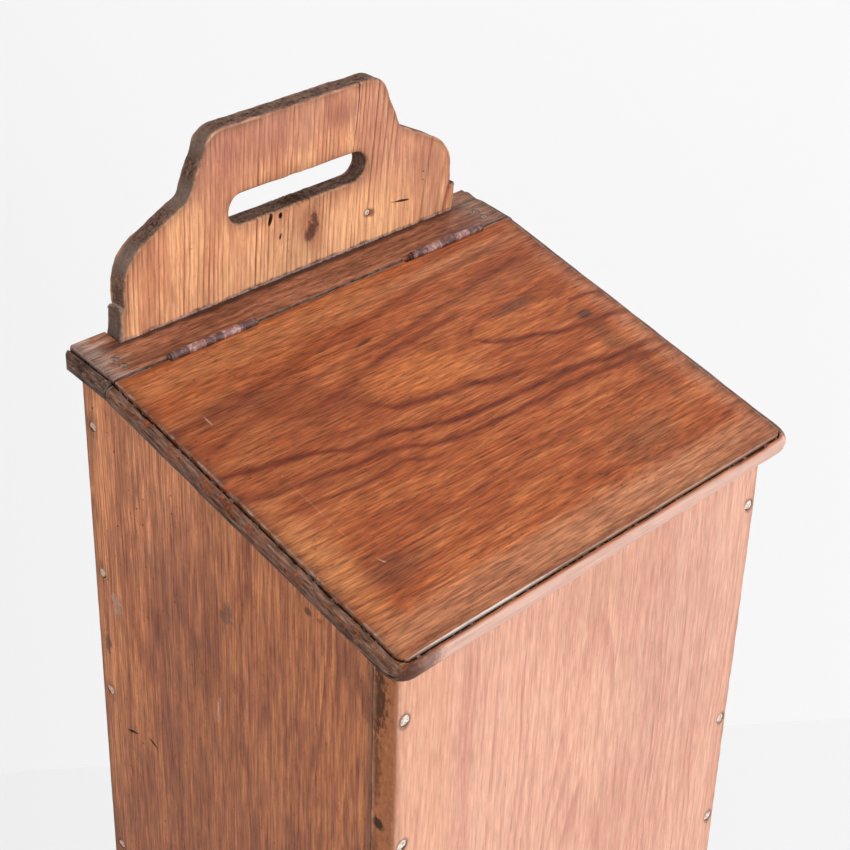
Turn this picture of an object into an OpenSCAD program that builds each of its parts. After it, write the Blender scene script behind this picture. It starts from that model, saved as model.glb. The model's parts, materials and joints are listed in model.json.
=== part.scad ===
/* [Carcase] */
// Width over the side boards
body_w = 346; // [320:1:400]
// Depth from the back face to the face of the front board
body_d = 297; // [260:1:360]
// Height of the hinge line above the floor
hinge_h = 720; // [560:1:900]
// Thickness of the side boards
side_t = 20; // [16:0.5:25]
// Thickness of the front board
front_t = 21; // [16:0.5:25]
// Radius on the front board's upright corners
front_corner_r = 3; // [1:0.5:6]
// Thickness of the back board
back_t = 16; // [12:0.5:20]
// Thickness of the bottom board
bottom_t = 18; // [12:0.5:25]
// Height of the bottom board's underside above the floor
bottom_lift = 15; // [8:1:40]
// Gap between a board and the ones that it fits between
board_gap = 0.2; // [0.1:0.05:0.5]

/* [Lid and ledge] */
// Thickness of the lid and of the fixed ledge behind it
top_t = 19; // [17.5:0.5:24]
// Fall of the lid towards the front, in degrees
lid_slope = 14.8; // [10:0.2:25]
// Fall of the ledge towards the front, in degrees
ledge_slope = 7.2; // [3:0.2:10]
// Depth of the ledge from the hinge line to the back face
ledge_d = 46.5; // [40:0.5:60]
// How far the ledge stands above the lid at the joint
ledge_rise = 0.6; // [0:0.1:1.5]
// How far the moulding's nose stands out past the side boards
side_overhang = 15; // [9:0.5:22]
// How far the moulding's nose stands out past the front board
front_overhang = 16; // [9:0.5:24]
// Air between the lid's underside and the boards that it shuts on
lid_seat_gap = 0.2; // [0.1:0.05:0.5]
// Joint between the lid and the ledge
joint_gap = 1.4; // [1:0.1:2.5]
// Radius in plan on the rear corners of the ledge
ledge_corner_r = 8; // [2:0.5:12]

/* [Moulded edge] */
// Width of the sunk quirk beside the field
quirk_w = 1.3; // [1:0.1:2.4]
// Depth of the quirk below the field
quirk_d = 3.6; // [2.4:0.1:4.5]
// Drop of the bead's crown below the field
bead_drop = 2; // [0.5:0.1:2.2]
// Radius of the bead over the nose
bead_r = 5; // [4.4:0.1:5.5]
// Projection of the nose past the edge of the field
nose_w = 7.5; // [7:0.1:9]
// Radius in plan on the field's front corners
field_corner_r = 7; // [6:0.5:15]

/* [Crest of the back board] */
// Height of the crest above the hinge line
crest_h = 129; // [122:1:150]
// Height above the hinge line of the saw steps below the shoulders
step_h = 26; // [20:1:32]
// Depth of the saw step at each edge
step_w = 4.8; // [2:0.1:8]
// Height above the hinge line at which the shoulders start to round
shoulder_h = 39; // [34:1:42]
// Radius of the shoulders
shoulder_r = 33; // [26:1:38]
// Slope of the shoulders up to the notches, in degrees
shoulder_slope = 27.5; // [20:0.5:32]
// Distance of each notch from the middle of the crest
notch_x = 95.5; // [86:0.5:100]
// Radius at the foot of each notch
notch_r = 5; // [2:0.5:8]
// Slope of the neck above each notch, in degrees
neck_slope = 66; // [60:1:76]
// Radius of the crest's top corners
cap_r = 17; // [10:1:20]
// Overall length of the hand slot
slot_l = 124; // [100:1:128]
// Height of the hand slot
slot_h = 21.6; // [18:0.1:28]
// Height of the slot's middle above the hinge line
slot_mid_h = 67.4; // [60:0.1:74]

/* [Hinges] */
// Length of each butt hinge
hinge_l = 72; // [60:1:80]
// Distance from the left side's face to the near end of its hinge
left_hinge_inset = 36; // [18:0.5:50]
// Distance from the right side's face to the near end of its hinge
right_hinge_inset = 20.5; // [18:0.5:50]
// Depth of each leaf down the edge of its board
leaf_d = 15; // [12:0.5:16.5]
// Thickness of each leaf
leaf_t = 1.4; // [1:0.1:2]
// Outer radius of the knuckles
knuckle_r = 2.9; // [2.6:0.1:3.6]
// Number of knuckles in each hinge
knuckles = 5; // [3:2:7]
// Radius of the pin
pin_r = 1.25; // [1:0.05:1.6]
// Radial running clearance between the pin and the knuckles
pin_gap = 0.05; // [0.02:0.01:0.09]
// Air between neighbouring knuckles
knuckle_gap = 0.3; // [0.2:0.05:0.6]
// Height of the pin's axis above the hinge line
axis_h = 0.8; // [0:0.1:1.2]
// Air round the knuckles in the edges of the boards
groove_gap = 0.4; // [0.3:0.05:1]
// Spare length at the ends of each hinge's recess, and below its leaf
recess_gap = 0.5; // [0.2:0.1:2]
// Overcut of the right hinge's recess towards the middle of the chest
overcut = 7.5; // [0:0.5:10]
// Radius of a hinge screw's shank
screw_r = 1.6; // [1.2:0.1:1.8]
// Radius of a hinge screw's head
screw_head_r = 3; // [2.4:0.1:3.4]
// Length of a hinge screw
screw_l = 15; // [10:0.5:20]
// Number of screws in each leaf
screws = 3; // [2:1:3]

/* [Nails] */
// Width of a cut nail's shank under its head
nail_w = 3.4; // [2.6:0.1:4]
// Width of a cut nail at its tip
nail_tip_w = 1.6; // [1.2:0.1:2]
// Thickness of a cut nail
nail_t = 2.6; // [2:0.1:3]
// Length of a cut nail
nail_l = 46; // [40:1:50]
// Radius of a nail's head
nail_head_r = 4; // [3:0.1:4.4]
// Radius of the heads of the nails in the ledge
ledge_head_r = 3; // [2.6:0.1:3.4]
// Thickness of a nail's head
nail_head_t = 1.3; // [0.8:0.1:2]
// Depth at which the heads are set below the face
nail_set = 0.2; // [0:0.1:0.6]
// Clearance round a nail or a screw in its hole
nail_gap = 0.1; // [0.05:0.05:0.15]
// Distance of the nails in the front board from the side's face
front_nail_inset = 6.5; // [6:0.5:10]
// Distance of the ledge's nails from the side's face
ledge_nail_inset = 7; // [5:0.5:12]
// Distance along the ledge from the hinge line to its first nail
ledge_nail_y = 10; // [9:0.5:12]
// Spacing of the two nails at each end of the ledge
ledge_nail_pitch = 8.5; // [8:0.5:12]
// Number of nails through each board into the bottom board
bottom_nails_each = 3; // [2:1:4]
// Length of the small nail in the crest
crest_nail_l = 12; // [8:0.5:14]
// Radius of the small nail's head
crest_nail_head_r = 2.5; // [2:0.1:3]
// Distance of the small nail from the middle of the crest
crest_nail_x = 66; // [50:1:90]
// Height of the small nail above the hinge line
crest_nail_h = 28.5; // [26:0.5:36]

/* [Hidden] */
$fn = 64;

// Colours of the old waxed pine, of the painted hinges and of the nails
side_colour = [0.55, 0.35, 0.23];
front_colour = [0.72, 0.48, 0.36];
crest_colour = [0.68, 0.42, 0.26];
top_colour = [0.56, 0.32, 0.19];
raw_colour = [0.66, 0.50, 0.34];
hinge_colour = [0.42, 0.24, 0.20];
steel_colour = [0.55, 0.52, 0.48];

// Drops of the nails below the hinge line, uneven as they were driven by eye
left_front_drops = [126, 224, 320, 415, 510, 605];
right_front_drops = [128, 318, 415, 510, 605];
side_drops = [54, 172, 274, 421, 520, 620];
// Least height above the floor of the nails in those rows
lowest_nail = 50;

// Places measured from the hinge line, with y towards the back and z upwards
half_w = body_w / 2;
inner_w = body_w - 2 * side_t;
back_y = ledge_d;
front_y = back_y - body_d;
well_back_y = back_y - back_t;
well_front_y = front_y + front_t;
floor_z = -hinge_h;
bottom_z = floor_z + bottom_lift;
// Overlap that joins two solids into one, and a length that runs past any board's edge
join = 0.01;
past = 20;

// The moulded edge, measured outwards (u) and upwards (v) from the arris of the field
bead_u = nose_w - bead_r;
bead_v = -bead_drop - bead_r;
belly_r = top_t + bead_v;
belly_u = nose_w - belly_r;
edge_reach = max(field_corner_r, -belly_u);

// The field of the lid, set so that the nose stands out by the overhangs
field_half_w = half_w + side_overhang - nose_w;
front_reach = front_overhang - front_y;
field_l = (front_reach - bead_r - bead_v * sin(lid_slope)) / cos(lid_slope) - bead_u;

// Middle of the whole depth, so that the origin lies under the middle of the chest
mid_y = (back_y - front_reach) / 2;

// Height of the lid's underside above the hinge line, at a depth y
function under_lid(y) = y * tan(lid_slope) - top_t / cos(lid_slope);
// Height of the ledge's underside above the hinge line, at a depth y
function under_ledge(y) = ledge_rise + y * tan(ledge_slope) - top_t / cos(ledge_slope);
// Points round a centre from one angle to another
function arc(centre, r, from, to, steps = 8) =
    [for (i = [0:steps]) let (a = from + (to - from) * i / steps) centre + r * [cos(a), sin(a)]];
// The drops of a row that leave its nails clear of the floor
function above_floor(drops) = [for (d = drops) if (d < hinge_h - lowest_nail) d];
// Even places for n fasteners along a length, with half a space at each end
function spread(n, length) = [for (i = [0:n - 1]) length * ((i + 0.5) / n - 0.5)];

// Half of the sawn outline: up over the shoulder, into the notch and up the neck to the flat top
function half_crest() =
    let (shoulder_x = inner_w / 2 - board_gap - step_w - shoulder_r)
    let (shoulder = arc([shoulder_x, shoulder_h], shoulder_r, 0, 90 - shoulder_slope))
    let (end = shoulder[len(shoulder) - 1])
    let (notch = [notch_x, end.y + (end.x - notch_x) * tan(shoulder_slope)])
    let (half_angle = (180 - neck_slope + shoulder_slope) / 2)
    let (lean = half_angle - shoulder_slope)
    let (hollow = notch + notch_r / sin(half_angle) * [cos(lean), sin(lean)])
    let (neck_top = notch_x - (crest_h - notch.y) / tan(neck_slope))
    let (cap = [neck_top - cap_r * tan(neck_slope / 2), crest_h - cap_r])
    concat(
        [[shoulder_x + shoulder_r, 0]],
        shoulder,
        arc(hollow, notch_r, -90 - shoulder_slope, -90 - neck_slope, 5),
        arc(cap, cap_r, 90 - neck_slope, 90));

// The back board seen from the front, with its hand slot
module back_outline() {
    board_w = inner_w - 2 * board_gap;
    half = half_crest();
    difference() {
        union() {
            translate([-board_w / 2, floor_z])
                square([board_w, hinge_h + step_h]);
            polygon(concat(half, [for (i = [len(half) - 1:-1:0]) [-half[i].x, half[i].y]]));
        }
        translate([0, slot_mid_h])
            slot_outline();
    }
}

module slot_outline() {
    straight = slot_l - slot_h;
    square([straight, slot_h], center = true);
    for (end = [-1, 1])
        translate([end * straight / 2, 0])
            circle(d = slot_h);
}

// Section of the moulded edge: the field, the quirk, the bead over the nose and the belly below it
module edge_section() {
    polygon([
        [-edge_reach, -top_t],
        [belly_u, -top_t],
        [belly_u, bead_v],
        [bead_u, bead_v],
        [bead_u, -bead_drop],
        [quirk_w, -bead_drop],
        [quirk_w, -quirk_d],
        [0, -quirk_d],
        [0, 0],
        [-edge_reach, 0]
    ]);
    translate([bead_u, bead_v])
        quarter_round(bead_r);
    translate([belly_u, bead_v])
        mirror([0, 1])
            quarter_round(belly_r);
}

module quarter_round(r) {
    intersection() {
        circle(r);
        square(r);
    }
}

// A straight run of the moulded edge along +Y, with the arris of the field on its +X side
module edge_run(length) {
    rotate([90, 0, 180])
        mirror([1, 0, 0])
            linear_extrude(length)
                edge_section();
}

// The moulded edge turned round a front corner, about the middle of the field's corner radius
module edge_corner() {
    rotate([0, 0, -90])
        rotate_extrude(angle = 90)
            intersection() {
                translate([field_corner_r, 0])
                    edge_section();
                translate([0, -top_t])
                    square([field_corner_r + nose_w, 2 * top_t]);
            }
}

// The lid lying flat with its top at z = 0, and running past the hinge line behind
module flat_lid() {
    inset_w = field_half_w - field_corner_r;
    inset_l = field_l - field_corner_r;
    translate([-field_half_w + edge_reach, -field_l + edge_reach, -top_t])
        cube([2 * (field_half_w - edge_reach), field_l - edge_reach + past, top_t]);
    for (side = [0, 1])
        mirror([side, 0, 0]) {
            translate([field_half_w, -inset_l, 0])
                edge_run(inset_l + past);
            translate([inset_w, -inset_l, 0])
                edge_corner();
        }
    translate([-inset_w, -field_l, 0])
        rotate([0, 0, -90])
            edge_run(2 * inset_w);
}

// The ledge lying flat with its top at z = 0, and running past both of its edges
module flat_ledge() {
    length = ledge_d + 2 * past;
    translate([-field_half_w + edge_reach, -past, -top_t])
        cube([2 * (field_half_w - edge_reach), length, top_t]);
    for (side = [0, 1])
        mirror([side, 0, 0])
            translate([field_half_w, -past, 0])
                edge_run(length);
}

// Plan of the ledge, with its rear corners rounded
module ledge_plan() {
    reach = field_half_w + nose_w;
    translate([-reach, joint_gap / 2])
        square([2 * reach, ledge_d - joint_gap / 2 - ledge_corner_r]);
    translate([-reach + ledge_corner_r, joint_gap / 2])
        square([2 * (reach - ledge_corner_r), ledge_d - joint_gap / 2]);
    for (end = [-1, 1])
        translate([end * (reach - ledge_corner_r), back_y - ledge_corner_r])
            circle(ledge_corner_r);
}

// Plan of the front board, with its outer corners rounded
module front_plan() {
    translate([-half_w, front_y + front_corner_r])
        square([body_w, front_t - front_corner_r]);
    translate([-half_w + front_corner_r, front_y])
        square([body_w - 2 * front_corner_r, front_t]);
    for (end = [-1, 1])
        translate([end * (half_w - front_corner_r), front_y + front_corner_r])
            circle(front_corner_r);
}

// A cut nail driven along -Z from a face at z = 0; a gap makes it the hole for one
module cut_nail(head_r = nail_head_r, length = nail_l, gap = 0) {
    head_rise = gap > 0 ? nail_set + 1 : 0;
    translate([0, 0, -nail_set - nail_head_t - gap])
        cylinder(h = nail_head_t + gap + head_rise, r = head_r + gap);
    translate([0, 0, -nail_set - nail_head_t])
        rotate([90, 0, 0])
            linear_extrude(nail_t + 2 * gap, center = true)
                polygon([
                    [-nail_w / 2 - gap, join],
                    [nail_w / 2 + gap, join],
                    [nail_tip_w / 2 + gap, -length - gap],
                    [-nail_tip_w / 2 - gap, -length - gap]
                ]);
}

// The rows through the front board into the front edges of the sides
module at_front_nails() {
    x = half_w - front_nail_inset;
    for (row = [[-x, left_front_drops], [x, right_front_drops]], d = above_floor(row[1]))
        translate([row[0], front_y, -d])
            rotate([90, 90, 0])
                children();
}

// The rows through the sides into the edges of the back board
module at_side_nails() {
    for (side = [0, 1], d = above_floor(side_drops))
        mirror([side, 0, 0])
            translate([-half_w, back_y - back_t / 2, -d])
                rotate([0, -90, 0])
                    children();
}

// The nails through the front, the back and the sides into the edges of the bottom board
module at_bottom_nails() {
    z = bottom_z + bottom_t / 2;
    for (x = spread(bottom_nails_each, inner_w)) {
        translate([x, front_y, z])
            rotate([90, 0, 0])
                children();
        translate([x, back_y, z])
            rotate([-90, 0, 0])
                children();
    }
    for (side = [0, 1], y = spread(bottom_nails_each, well_back_y - well_front_y))
        mirror([side, 0, 0])
            translate([-half_w, (well_back_y + well_front_y) / 2 + y, z])
                rotate([90, 0, -90])
                    children();
}

// The pairs down through the ends of the ledge into the tops of the sides
module at_ledge_nails() {
    for (side = [-1, 1], i = [0, 1])
        translate([side * (half_w - ledge_nail_inset), 0, ledge_rise])
            rotate([ledge_slope, 0, 0])
                translate([0, ledge_nail_y + i * ledge_nail_pitch, 0])
                    children();
}

module at_crest_nail() {
    translate([crest_nail_x, well_back_y, crest_nail_h])
        rotate([90, 0, 0])
            children();
}

// The holes in the side boards
module side_nail_holes() {
    at_front_nails()
        cut_nail(gap = nail_gap);
    at_side_nails()
        cut_nail(gap = nail_gap);
    at_bottom_nails()
        cut_nail(gap = nail_gap);
    at_ledge_nails()
        cut_nail(ledge_head_r, gap = nail_gap);
}

// A countersunk hinge screw driven along -Z from the face of its leaf
module hinge_screw(gap = 0) {
    tip_l = 2 * screw_r;
    translate([0, 0, -leaf_t])
        cylinder(h = leaf_t, r1 = screw_r + gap, r2 = screw_head_r + gap);
    translate([0, 0, tip_l - screw_l])
        cylinder(h = screw_l - tip_l - leaf_t + join, r = screw_r + gap);
    translate([0, 0, -screw_l - gap])
        cylinder(h = tip_l + gap, r1 = gap + join, r2 = screw_r + gap);
}

// The screws of one leaf, on the ledge's side (1) or on the lid's side (-1)
module at_leaf_screws(side) {
    for (x = spread(screws, hinge_l))
        translate([x, side * joint_gap / 2, axis_h - (leaf_d + knuckle_r) / 2])
            rotate([side * 90, 0, 0])
                children();
}

module at_left_hinge() {
    translate([-half_w + left_hinge_inset + hinge_l / 2, 0, 0])
        children();
}

module at_right_hinge() {
    translate([half_w - right_hinge_inset - hinge_l / 2, 0, 0])
        children();
}

// A round bar along the hinge's axis
module axis_bar(from, to, r) {
    translate([from, 0, axis_h])
        rotate([0, 90, 0])
            cylinder(h = to - from, r = r);
}

// Every other knuckle, beginning with the first (0) or the second (1)
module hinge_knuckles(first, gap = 0) {
    pitch = hinge_l / knuckles;
    for (i = [first:2:knuckles - 1])
        axis_bar(
            -hinge_l / 2 + i * pitch + knuckle_gap / 2 - gap,
            -hinge_l / 2 + (i + 1) * pitch - knuckle_gap / 2 + gap,
            knuckle_r + gap);
}

// A leaf with its knuckles, on the ledge's side (1) or on the lid's side (-1)
module hinge_leaf(side) {
    own = side > 0 ? 0 : 1;
    color(hinge_colour)
        difference() {
            union() {
                translate([-hinge_l / 2, side > 0 ? joint_gap / 2 : -joint_gap / 2 - leaf_t, axis_h - leaf_d])
                    cube([hinge_l, leaf_t, leaf_d]);
                hinge_knuckles(own);
            }
            hinge_knuckles(1 - own, knuckle_gap);
            axis_bar(-hinge_l, hinge_l, pin_r + pin_gap);
            at_leaf_screws(side)
                hinge_screw(nail_gap);
        }
}

module hinge_pin() {
    color(steel_colour)
        axis_bar(-hinge_l / 2, hinge_l / 2, pin_r);
}

// The recess in the edge of a board for one leaf and the knuckles, with its screw holes
module hinge_recess(side, overcut_l = 0) {
    from = -hinge_l / 2 - recess_gap - overcut_l;
    length = hinge_l + 2 * recess_gap + overcut_l;
    depth = joint_gap / 2 + leaf_t;
    translate([from, side > 0 ? 0 : -depth, axis_h - leaf_d - recess_gap])
        cube([length, depth, leaf_d + past]);
    axis_bar(from, from + length, knuckle_r + groove_gap);
    at_leaf_screws(side)
        hinge_screw(nail_gap);
}

module hinge_recesses(side) {
    at_left_hinge()
        hinge_recess(side);
    at_right_hinge()
        hinge_recess(side, overcut);
}

module back_board() {
    color(crest_colour)
        difference() {
            translate([0, back_y, 0])
                rotate([90, 0, 0])
                    linear_extrude(back_t)
                        back_outline();
            at_side_nails()
                cut_nail(gap = nail_gap);
            at_bottom_nails()
                cut_nail(gap = nail_gap);
            at_crest_nail()
                cut_nail(crest_nail_head_r, crest_nail_l, nail_gap);
        }
}

// A side board whose inner face lies at x = 0, its top edge cut to the slopes of the ledge and the lid
module side_board() {
    rotate([90, 0, 90])
        linear_extrude(side_t)
            polygon([
                [back_y, floor_z],
                [back_y, under_ledge(back_y)],
                [0, under_ledge(0)],
                [0, under_lid(0) - lid_seat_gap],
                [well_front_y, under_lid(well_front_y) - lid_seat_gap],
                [well_front_y, floor_z]
            ]);
}

module left_side() {
    color(side_colour)
        difference() {
            translate([-half_w, 0, 0])
                side_board();
            side_nail_holes();
        }
}

module right_side() {
    color(side_colour)
        difference() {
            translate([inner_w / 2, 0, 0])
                side_board();
            side_nail_holes();
        }
}

module front_board() {
    color(front_colour)
        difference() {
            translate([0, 0, floor_z])
                linear_extrude(hinge_h)
                    front_plan();
            translate([0, 0, -lid_seat_gap])
                rotate([lid_slope, 0, 0])
                    translate([-body_w, -2 * body_d, -top_t])
                        cube([2 * body_w, 2 * body_d, hinge_h]);
            at_front_nails()
                cut_nail(gap = nail_gap);
            at_bottom_nails()
                cut_nail(gap = nail_gap);
        }
}

module bottom_board() {
    color(raw_colour)
        difference() {
            translate([-inner_w / 2 + board_gap, well_front_y + board_gap, bottom_z])
                cube([inner_w - 2 * board_gap, well_back_y - well_front_y - 2 * board_gap, bottom_t]);
            at_bottom_nails()
                cut_nail(gap = nail_gap);
        }
}

module ledge() {
    color(top_colour)
        difference() {
            intersection() {
                translate([0, 0, ledge_rise])
                    rotate([ledge_slope, 0, 0])
                        flat_ledge();
                translate([0, 0, floor_z])
                    linear_extrude(2 * hinge_h)
                        ledge_plan();
            }
            translate([-inner_w / 2, well_back_y - board_gap, floor_z])
                cube([inner_w, back_t + past, 2 * hinge_h]);
            hinge_recesses(1);
            at_ledge_nails()
                cut_nail(ledge_head_r, gap = nail_gap);
        }
}

module lid() {
    color(top_colour)
        difference() {
            rotate([lid_slope, 0, 0])
                flat_lid();
            translate([-body_w, -joint_gap / 2, floor_z])
                cube([2 * body_w, body_d, 2 * hinge_h]);
            hinge_recesses(-1);
        }
}

module left_fixed_leaf() {
    at_left_hinge()
        hinge_leaf(1);
}

module left_lid_leaf() {
    at_left_hinge()
        hinge_leaf(-1);
}

module left_hinge_pin() {
    at_left_hinge()
        hinge_pin();
}

module right_fixed_leaf() {
    at_right_hinge()
        hinge_leaf(1);
}

module right_lid_leaf() {
    at_right_hinge()
        hinge_leaf(-1);
}

module right_hinge_pin() {
    at_right_hinge()
        hinge_pin();
}

// The screws of both hinges on one side of the joint
module leaf_screws(side) {
    color(steel_colour) {
        at_left_hinge()
            at_leaf_screws(side)
                hinge_screw();
        at_right_hinge()
            at_leaf_screws(side)
                hinge_screw();
    }
}

module ledge_screws() {
    leaf_screws(1);
}

module lid_screws() {
    leaf_screws(-1);
}

module front_nails() {
    color(steel_colour)
        at_front_nails()
            cut_nail();
}

module side_nails() {
    color(steel_colour)
        at_side_nails()
            cut_nail();
}

module bottom_nails() {
    color(steel_colour)
        at_bottom_nails()
            cut_nail();
}

module ledge_nails() {
    color(steel_colour)
        at_ledge_nails()
            cut_nail(ledge_head_r);
}

module crest_nail() {
    color(steel_colour)
        at_crest_nail()
            cut_nail(crest_nail_head_r, crest_nail_l);
}

// Stands the model on the floor, with the origin under its middle
module on_floor() {
    translate([0, -mid_y, hinge_h])
        children();
}

on_floor() back_board();
on_floor() left_side();
on_floor() right_side();
on_floor() front_board();
on_floor() bottom_board();
on_floor() ledge();
on_floor() lid();
on_floor() left_fixed_leaf();
on_floor() left_lid_leaf();
on_floor() left_hinge_pin();
on_floor() right_fixed_leaf();
on_floor() right_lid_leaf();
on_floor() right_hinge_pin();
on_floor() ledge_screws();
on_floor() lid_screws();
on_floor() front_nails();
on_floor() side_nails();
on_floor() bottom_nails();
on_floor() ledge_nails();
on_floor() crest_nail();
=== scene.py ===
"""Looks of an old pine bread chest: worn boards, moulded lid, painted hinges, nails and a pale studio.

All shapes are worked out in millimetres from the hinge line, with x to the right, y towards the back and
z up, and are put into the meshes in metres.
"""

import json
import logging
import math
from contextlib import contextmanager
from dataclasses import dataclass
from enum import Enum
from typing import Callable, Iterator, Sequence, Union

import bmesh
import bpy
import numpy as np
from mathutils import Matrix, Vector


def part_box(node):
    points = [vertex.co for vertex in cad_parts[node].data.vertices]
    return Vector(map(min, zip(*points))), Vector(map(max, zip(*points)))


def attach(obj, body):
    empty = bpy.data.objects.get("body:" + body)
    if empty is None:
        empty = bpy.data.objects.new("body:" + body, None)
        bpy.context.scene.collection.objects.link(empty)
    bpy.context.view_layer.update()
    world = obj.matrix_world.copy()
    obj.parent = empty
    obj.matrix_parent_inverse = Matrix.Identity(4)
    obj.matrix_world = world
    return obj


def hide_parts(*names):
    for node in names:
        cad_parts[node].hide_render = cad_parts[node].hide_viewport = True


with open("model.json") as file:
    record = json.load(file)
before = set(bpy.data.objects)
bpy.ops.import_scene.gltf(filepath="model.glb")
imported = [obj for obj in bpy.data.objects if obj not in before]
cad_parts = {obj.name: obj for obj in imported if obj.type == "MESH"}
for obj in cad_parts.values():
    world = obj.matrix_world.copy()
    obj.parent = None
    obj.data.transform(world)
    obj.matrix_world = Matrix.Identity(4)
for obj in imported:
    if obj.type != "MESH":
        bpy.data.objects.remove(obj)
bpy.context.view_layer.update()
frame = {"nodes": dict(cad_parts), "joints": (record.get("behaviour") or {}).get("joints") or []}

log = logging.getLogger("bread_chest")

Colour = tuple[float, float, float]
Point = tuple[float, float, float]
Array = np.ndarray

MM = 0.001
TAU = 2 * math.pi
# Height of the pins' axis above the hinge line
AXIS_RISE = 0.8
# The hinge line, in millimetres in the chest's own frame
HINGE_Y = frame["joints"][0]["pos_m"][1] / MM
HINGE_Z = frame["joints"][0]["pos_m"][2] / MM - AXIS_RISE
DATUM = np.array([0.0, HINGE_Y, HINGE_Z])
# Falls towards the front of the lid and the ledge, and the ledge's height at the hinge line
SLOPE = math.radians(14.8)
LEDGE_SLOPE = math.radians(7.2)
LEDGE_RISE = 0.6
# Gap between lid and ledge, and thickness of both
JOINT_GAP = 1.4
BOARD_T = 19.0
UP = (0.0, 0.0, 1.0)
ACROSS_X = (1.0, 0.0, 0.0)
ACROSS_Y = (0.0, 1.0, 0.0)
# Shares of the way from a face's middle to its rim, closer together towards the rim
FACE_SHARES = 1 - (1 - np.linspace(0, 1, 12)) ** 2.1
# Size of the smallest row round a face's middle, as a share of the outline
CORE_SHARE = 0.06

# Nails and worm holes, as places on the faces that they go into
SIDE_NAILS = tuple((38.5, float(-drop)) for drop in (54, 172, 274, 421, 520, 620))
FRONT_NAILS = tuple(
    (x, float(-drop))
    for x, drops in ((-166.5, (126, 224, 320, 415, 510, 605)), (166.5, (128, 318, 415, 510, 605)))
    for drop in drops
)
CREST_NAIL = (66.0, 28.5)
LEDGE_NAILS = tuple((x, back) for x in (-166.0, 166.0) for back in (10.0, 18.5))
SIDE_WORM = (
    (2, -86), (-43, -68), (-13, -86), (-5, -97), (2, -104), (-43, -82), (17, -122), (-11, -107), (-11, -127),
    (-12, -140), (-42, -152), (-11, -182), (16, -299), (3, -301), (-11, -292), (20, -333), (-27, -337),
    (-18, -360), (21, -37), (22, -51), (16, -63), (37, -39),
)
# Depth of the hollows round the nail heads
NAIL_SINK = 1.7


def node_box(node: str) -> tuple[Array, Array]:
    """Lowest and highest corner of a solid node, in millimetres from the hinge line.

    Args:
        node: the solid's name.

    Returns:
        The two corners.
    """
    low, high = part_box(node)
    return np.array(low) / MM - DATUM, np.array(high) / MM - DATUM


# Noise and outlines


def waves(u: Array, v: Array, seed: int, longest: float, shortest: float, count: int = 12) -> Array:
    """Smooth noise of about unit size: a sum of sine waves, each with a seeded heading, length and phase.

    Args:
        u: first coordinate.
        v: second coordinate.
        seed: picks the waves.
        longest: the longest wave.
        shortest: the shortest wave.
        count: the number of waves.

    Returns:
        The noise at each point.
    """
    rng = np.random.default_rng(seed)
    lengths = np.exp(rng.uniform(math.log(shortest), math.log(longest), count))
    headings = rng.uniform(0, TAU, count)
    phases = rng.uniform(0, TAU, count)
    along = u[..., None] * np.cos(headings) + v[..., None] * np.sin(headings)
    return np.sin(TAU * along / lengths + phases).sum(-1) * math.sqrt(2.0 / count)


def bites(s: Array, seed: int, count: int, width: float, depth: float) -> Array:
    """Small chips along an edge: a sum of seeded bell curves, each narrower and shallower than the limits.

    Args:
        s: distance along the edge.
        seed: picks the chips.
        count: the number of chips.
        width: the widest chip's half width.
        depth: the deepest chip.

    Returns:
        The depth of the chips at each place.
    """
    rng = np.random.default_rng(seed)
    centres = rng.uniform(s.min(), s.max(), count)
    widths = rng.uniform(0.25, 1.0, count) * width
    depths = rng.uniform(0.2, 1.0, count) ** 2 * depth
    return (depths * np.exp(-(((s[..., None] - centres) / widths) ** 2))).sum(-1)


@dataclass(frozen=True)
class Corner:
    """A corner of an outline and the radius that rounds it."""

    a: float
    b: float
    radius: float = 1.0


@dataclass(frozen=True)
class Loop:
    """A closed outline: its points, its outward normals and the distance travelled to each point."""

    points: Array
    normals: Array
    travel: Array

    def inset(self, depth: Union[float, Array]) -> Array:
        """The outline moved inwards by a depth, which may differ from point to point."""
        return self.points - self.normals * np.broadcast_to(depth, self.travel.shape)[:, None]


def round_loop(corners: Sequence[Corner], step: float) -> Loop:
    """Outline through corners given anticlockwise, each rounded by the arc that touches both of its sides.

    An arc of radius r at a turn t starts r * tan(t / 2) before the corner. Its normals point from its centre,
    or towards it where the corner is hollow. Straight stretches carry evenly spaced points.

    Args:
        corners: the corners.
        step: the spacing on straight stretches.

    Returns:
        The outline.
    """
    count = len(corners)
    spots = [np.array([c.a, c.b]) for c in corners]
    arcs = []
    for i, corner in enumerate(corners):
        before, here, after = spots[i - 1], spots[i], spots[(i + 1) % count]
        come = (here - before) / np.linalg.norm(here - before)
        leave = (after - here) / np.linalg.norm(after - here)
        turn = math.atan2(come[0] * leave[1] - come[1] * leave[0], come @ leave)
        hand = math.copysign(1.0, turn)
        start = here - come * corner.radius * math.tan(abs(turn) / 2)
        centre = start + hand * corner.radius * np.array([-come[1], come[0]])
        pieces = max(3, round(abs(turn) * corner.radius / min(step, 0.3 * corner.radius + 0.4)))
        angles = math.atan2(*(start - centre)[::-1]) + turn * np.linspace(0, 1, pieces + 1)
        rays = np.stack([np.cos(angles), np.sin(angles)], -1)
        arcs.append((centre + corner.radius * rays, hand * rays))
    points, normals = [], []
    for i, (arc_points, arc_normals) in enumerate(arcs):
        start, end = arcs[i - 1][0][-1], arc_points[0]
        gap = end - start
        length = np.linalg.norm(gap)
        between = np.linspace(0, 1, max(2, round(length / step) + 1))[1:-1, None]
        heading = gap / max(length, 1e-9)
        points += [start + between * gap, arc_points]
        normals += [np.broadcast_to([heading[1], -heading[0]], (len(between), 2)), arc_normals]
    all_points = np.concatenate(points)
    steps = np.linalg.norm(np.roll(all_points, -1, 0) - all_points, axis=1)
    return Loop(all_points, np.concatenate(normals), np.concatenate([[0.0], np.cumsum(steps)[:-1]]))


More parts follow.
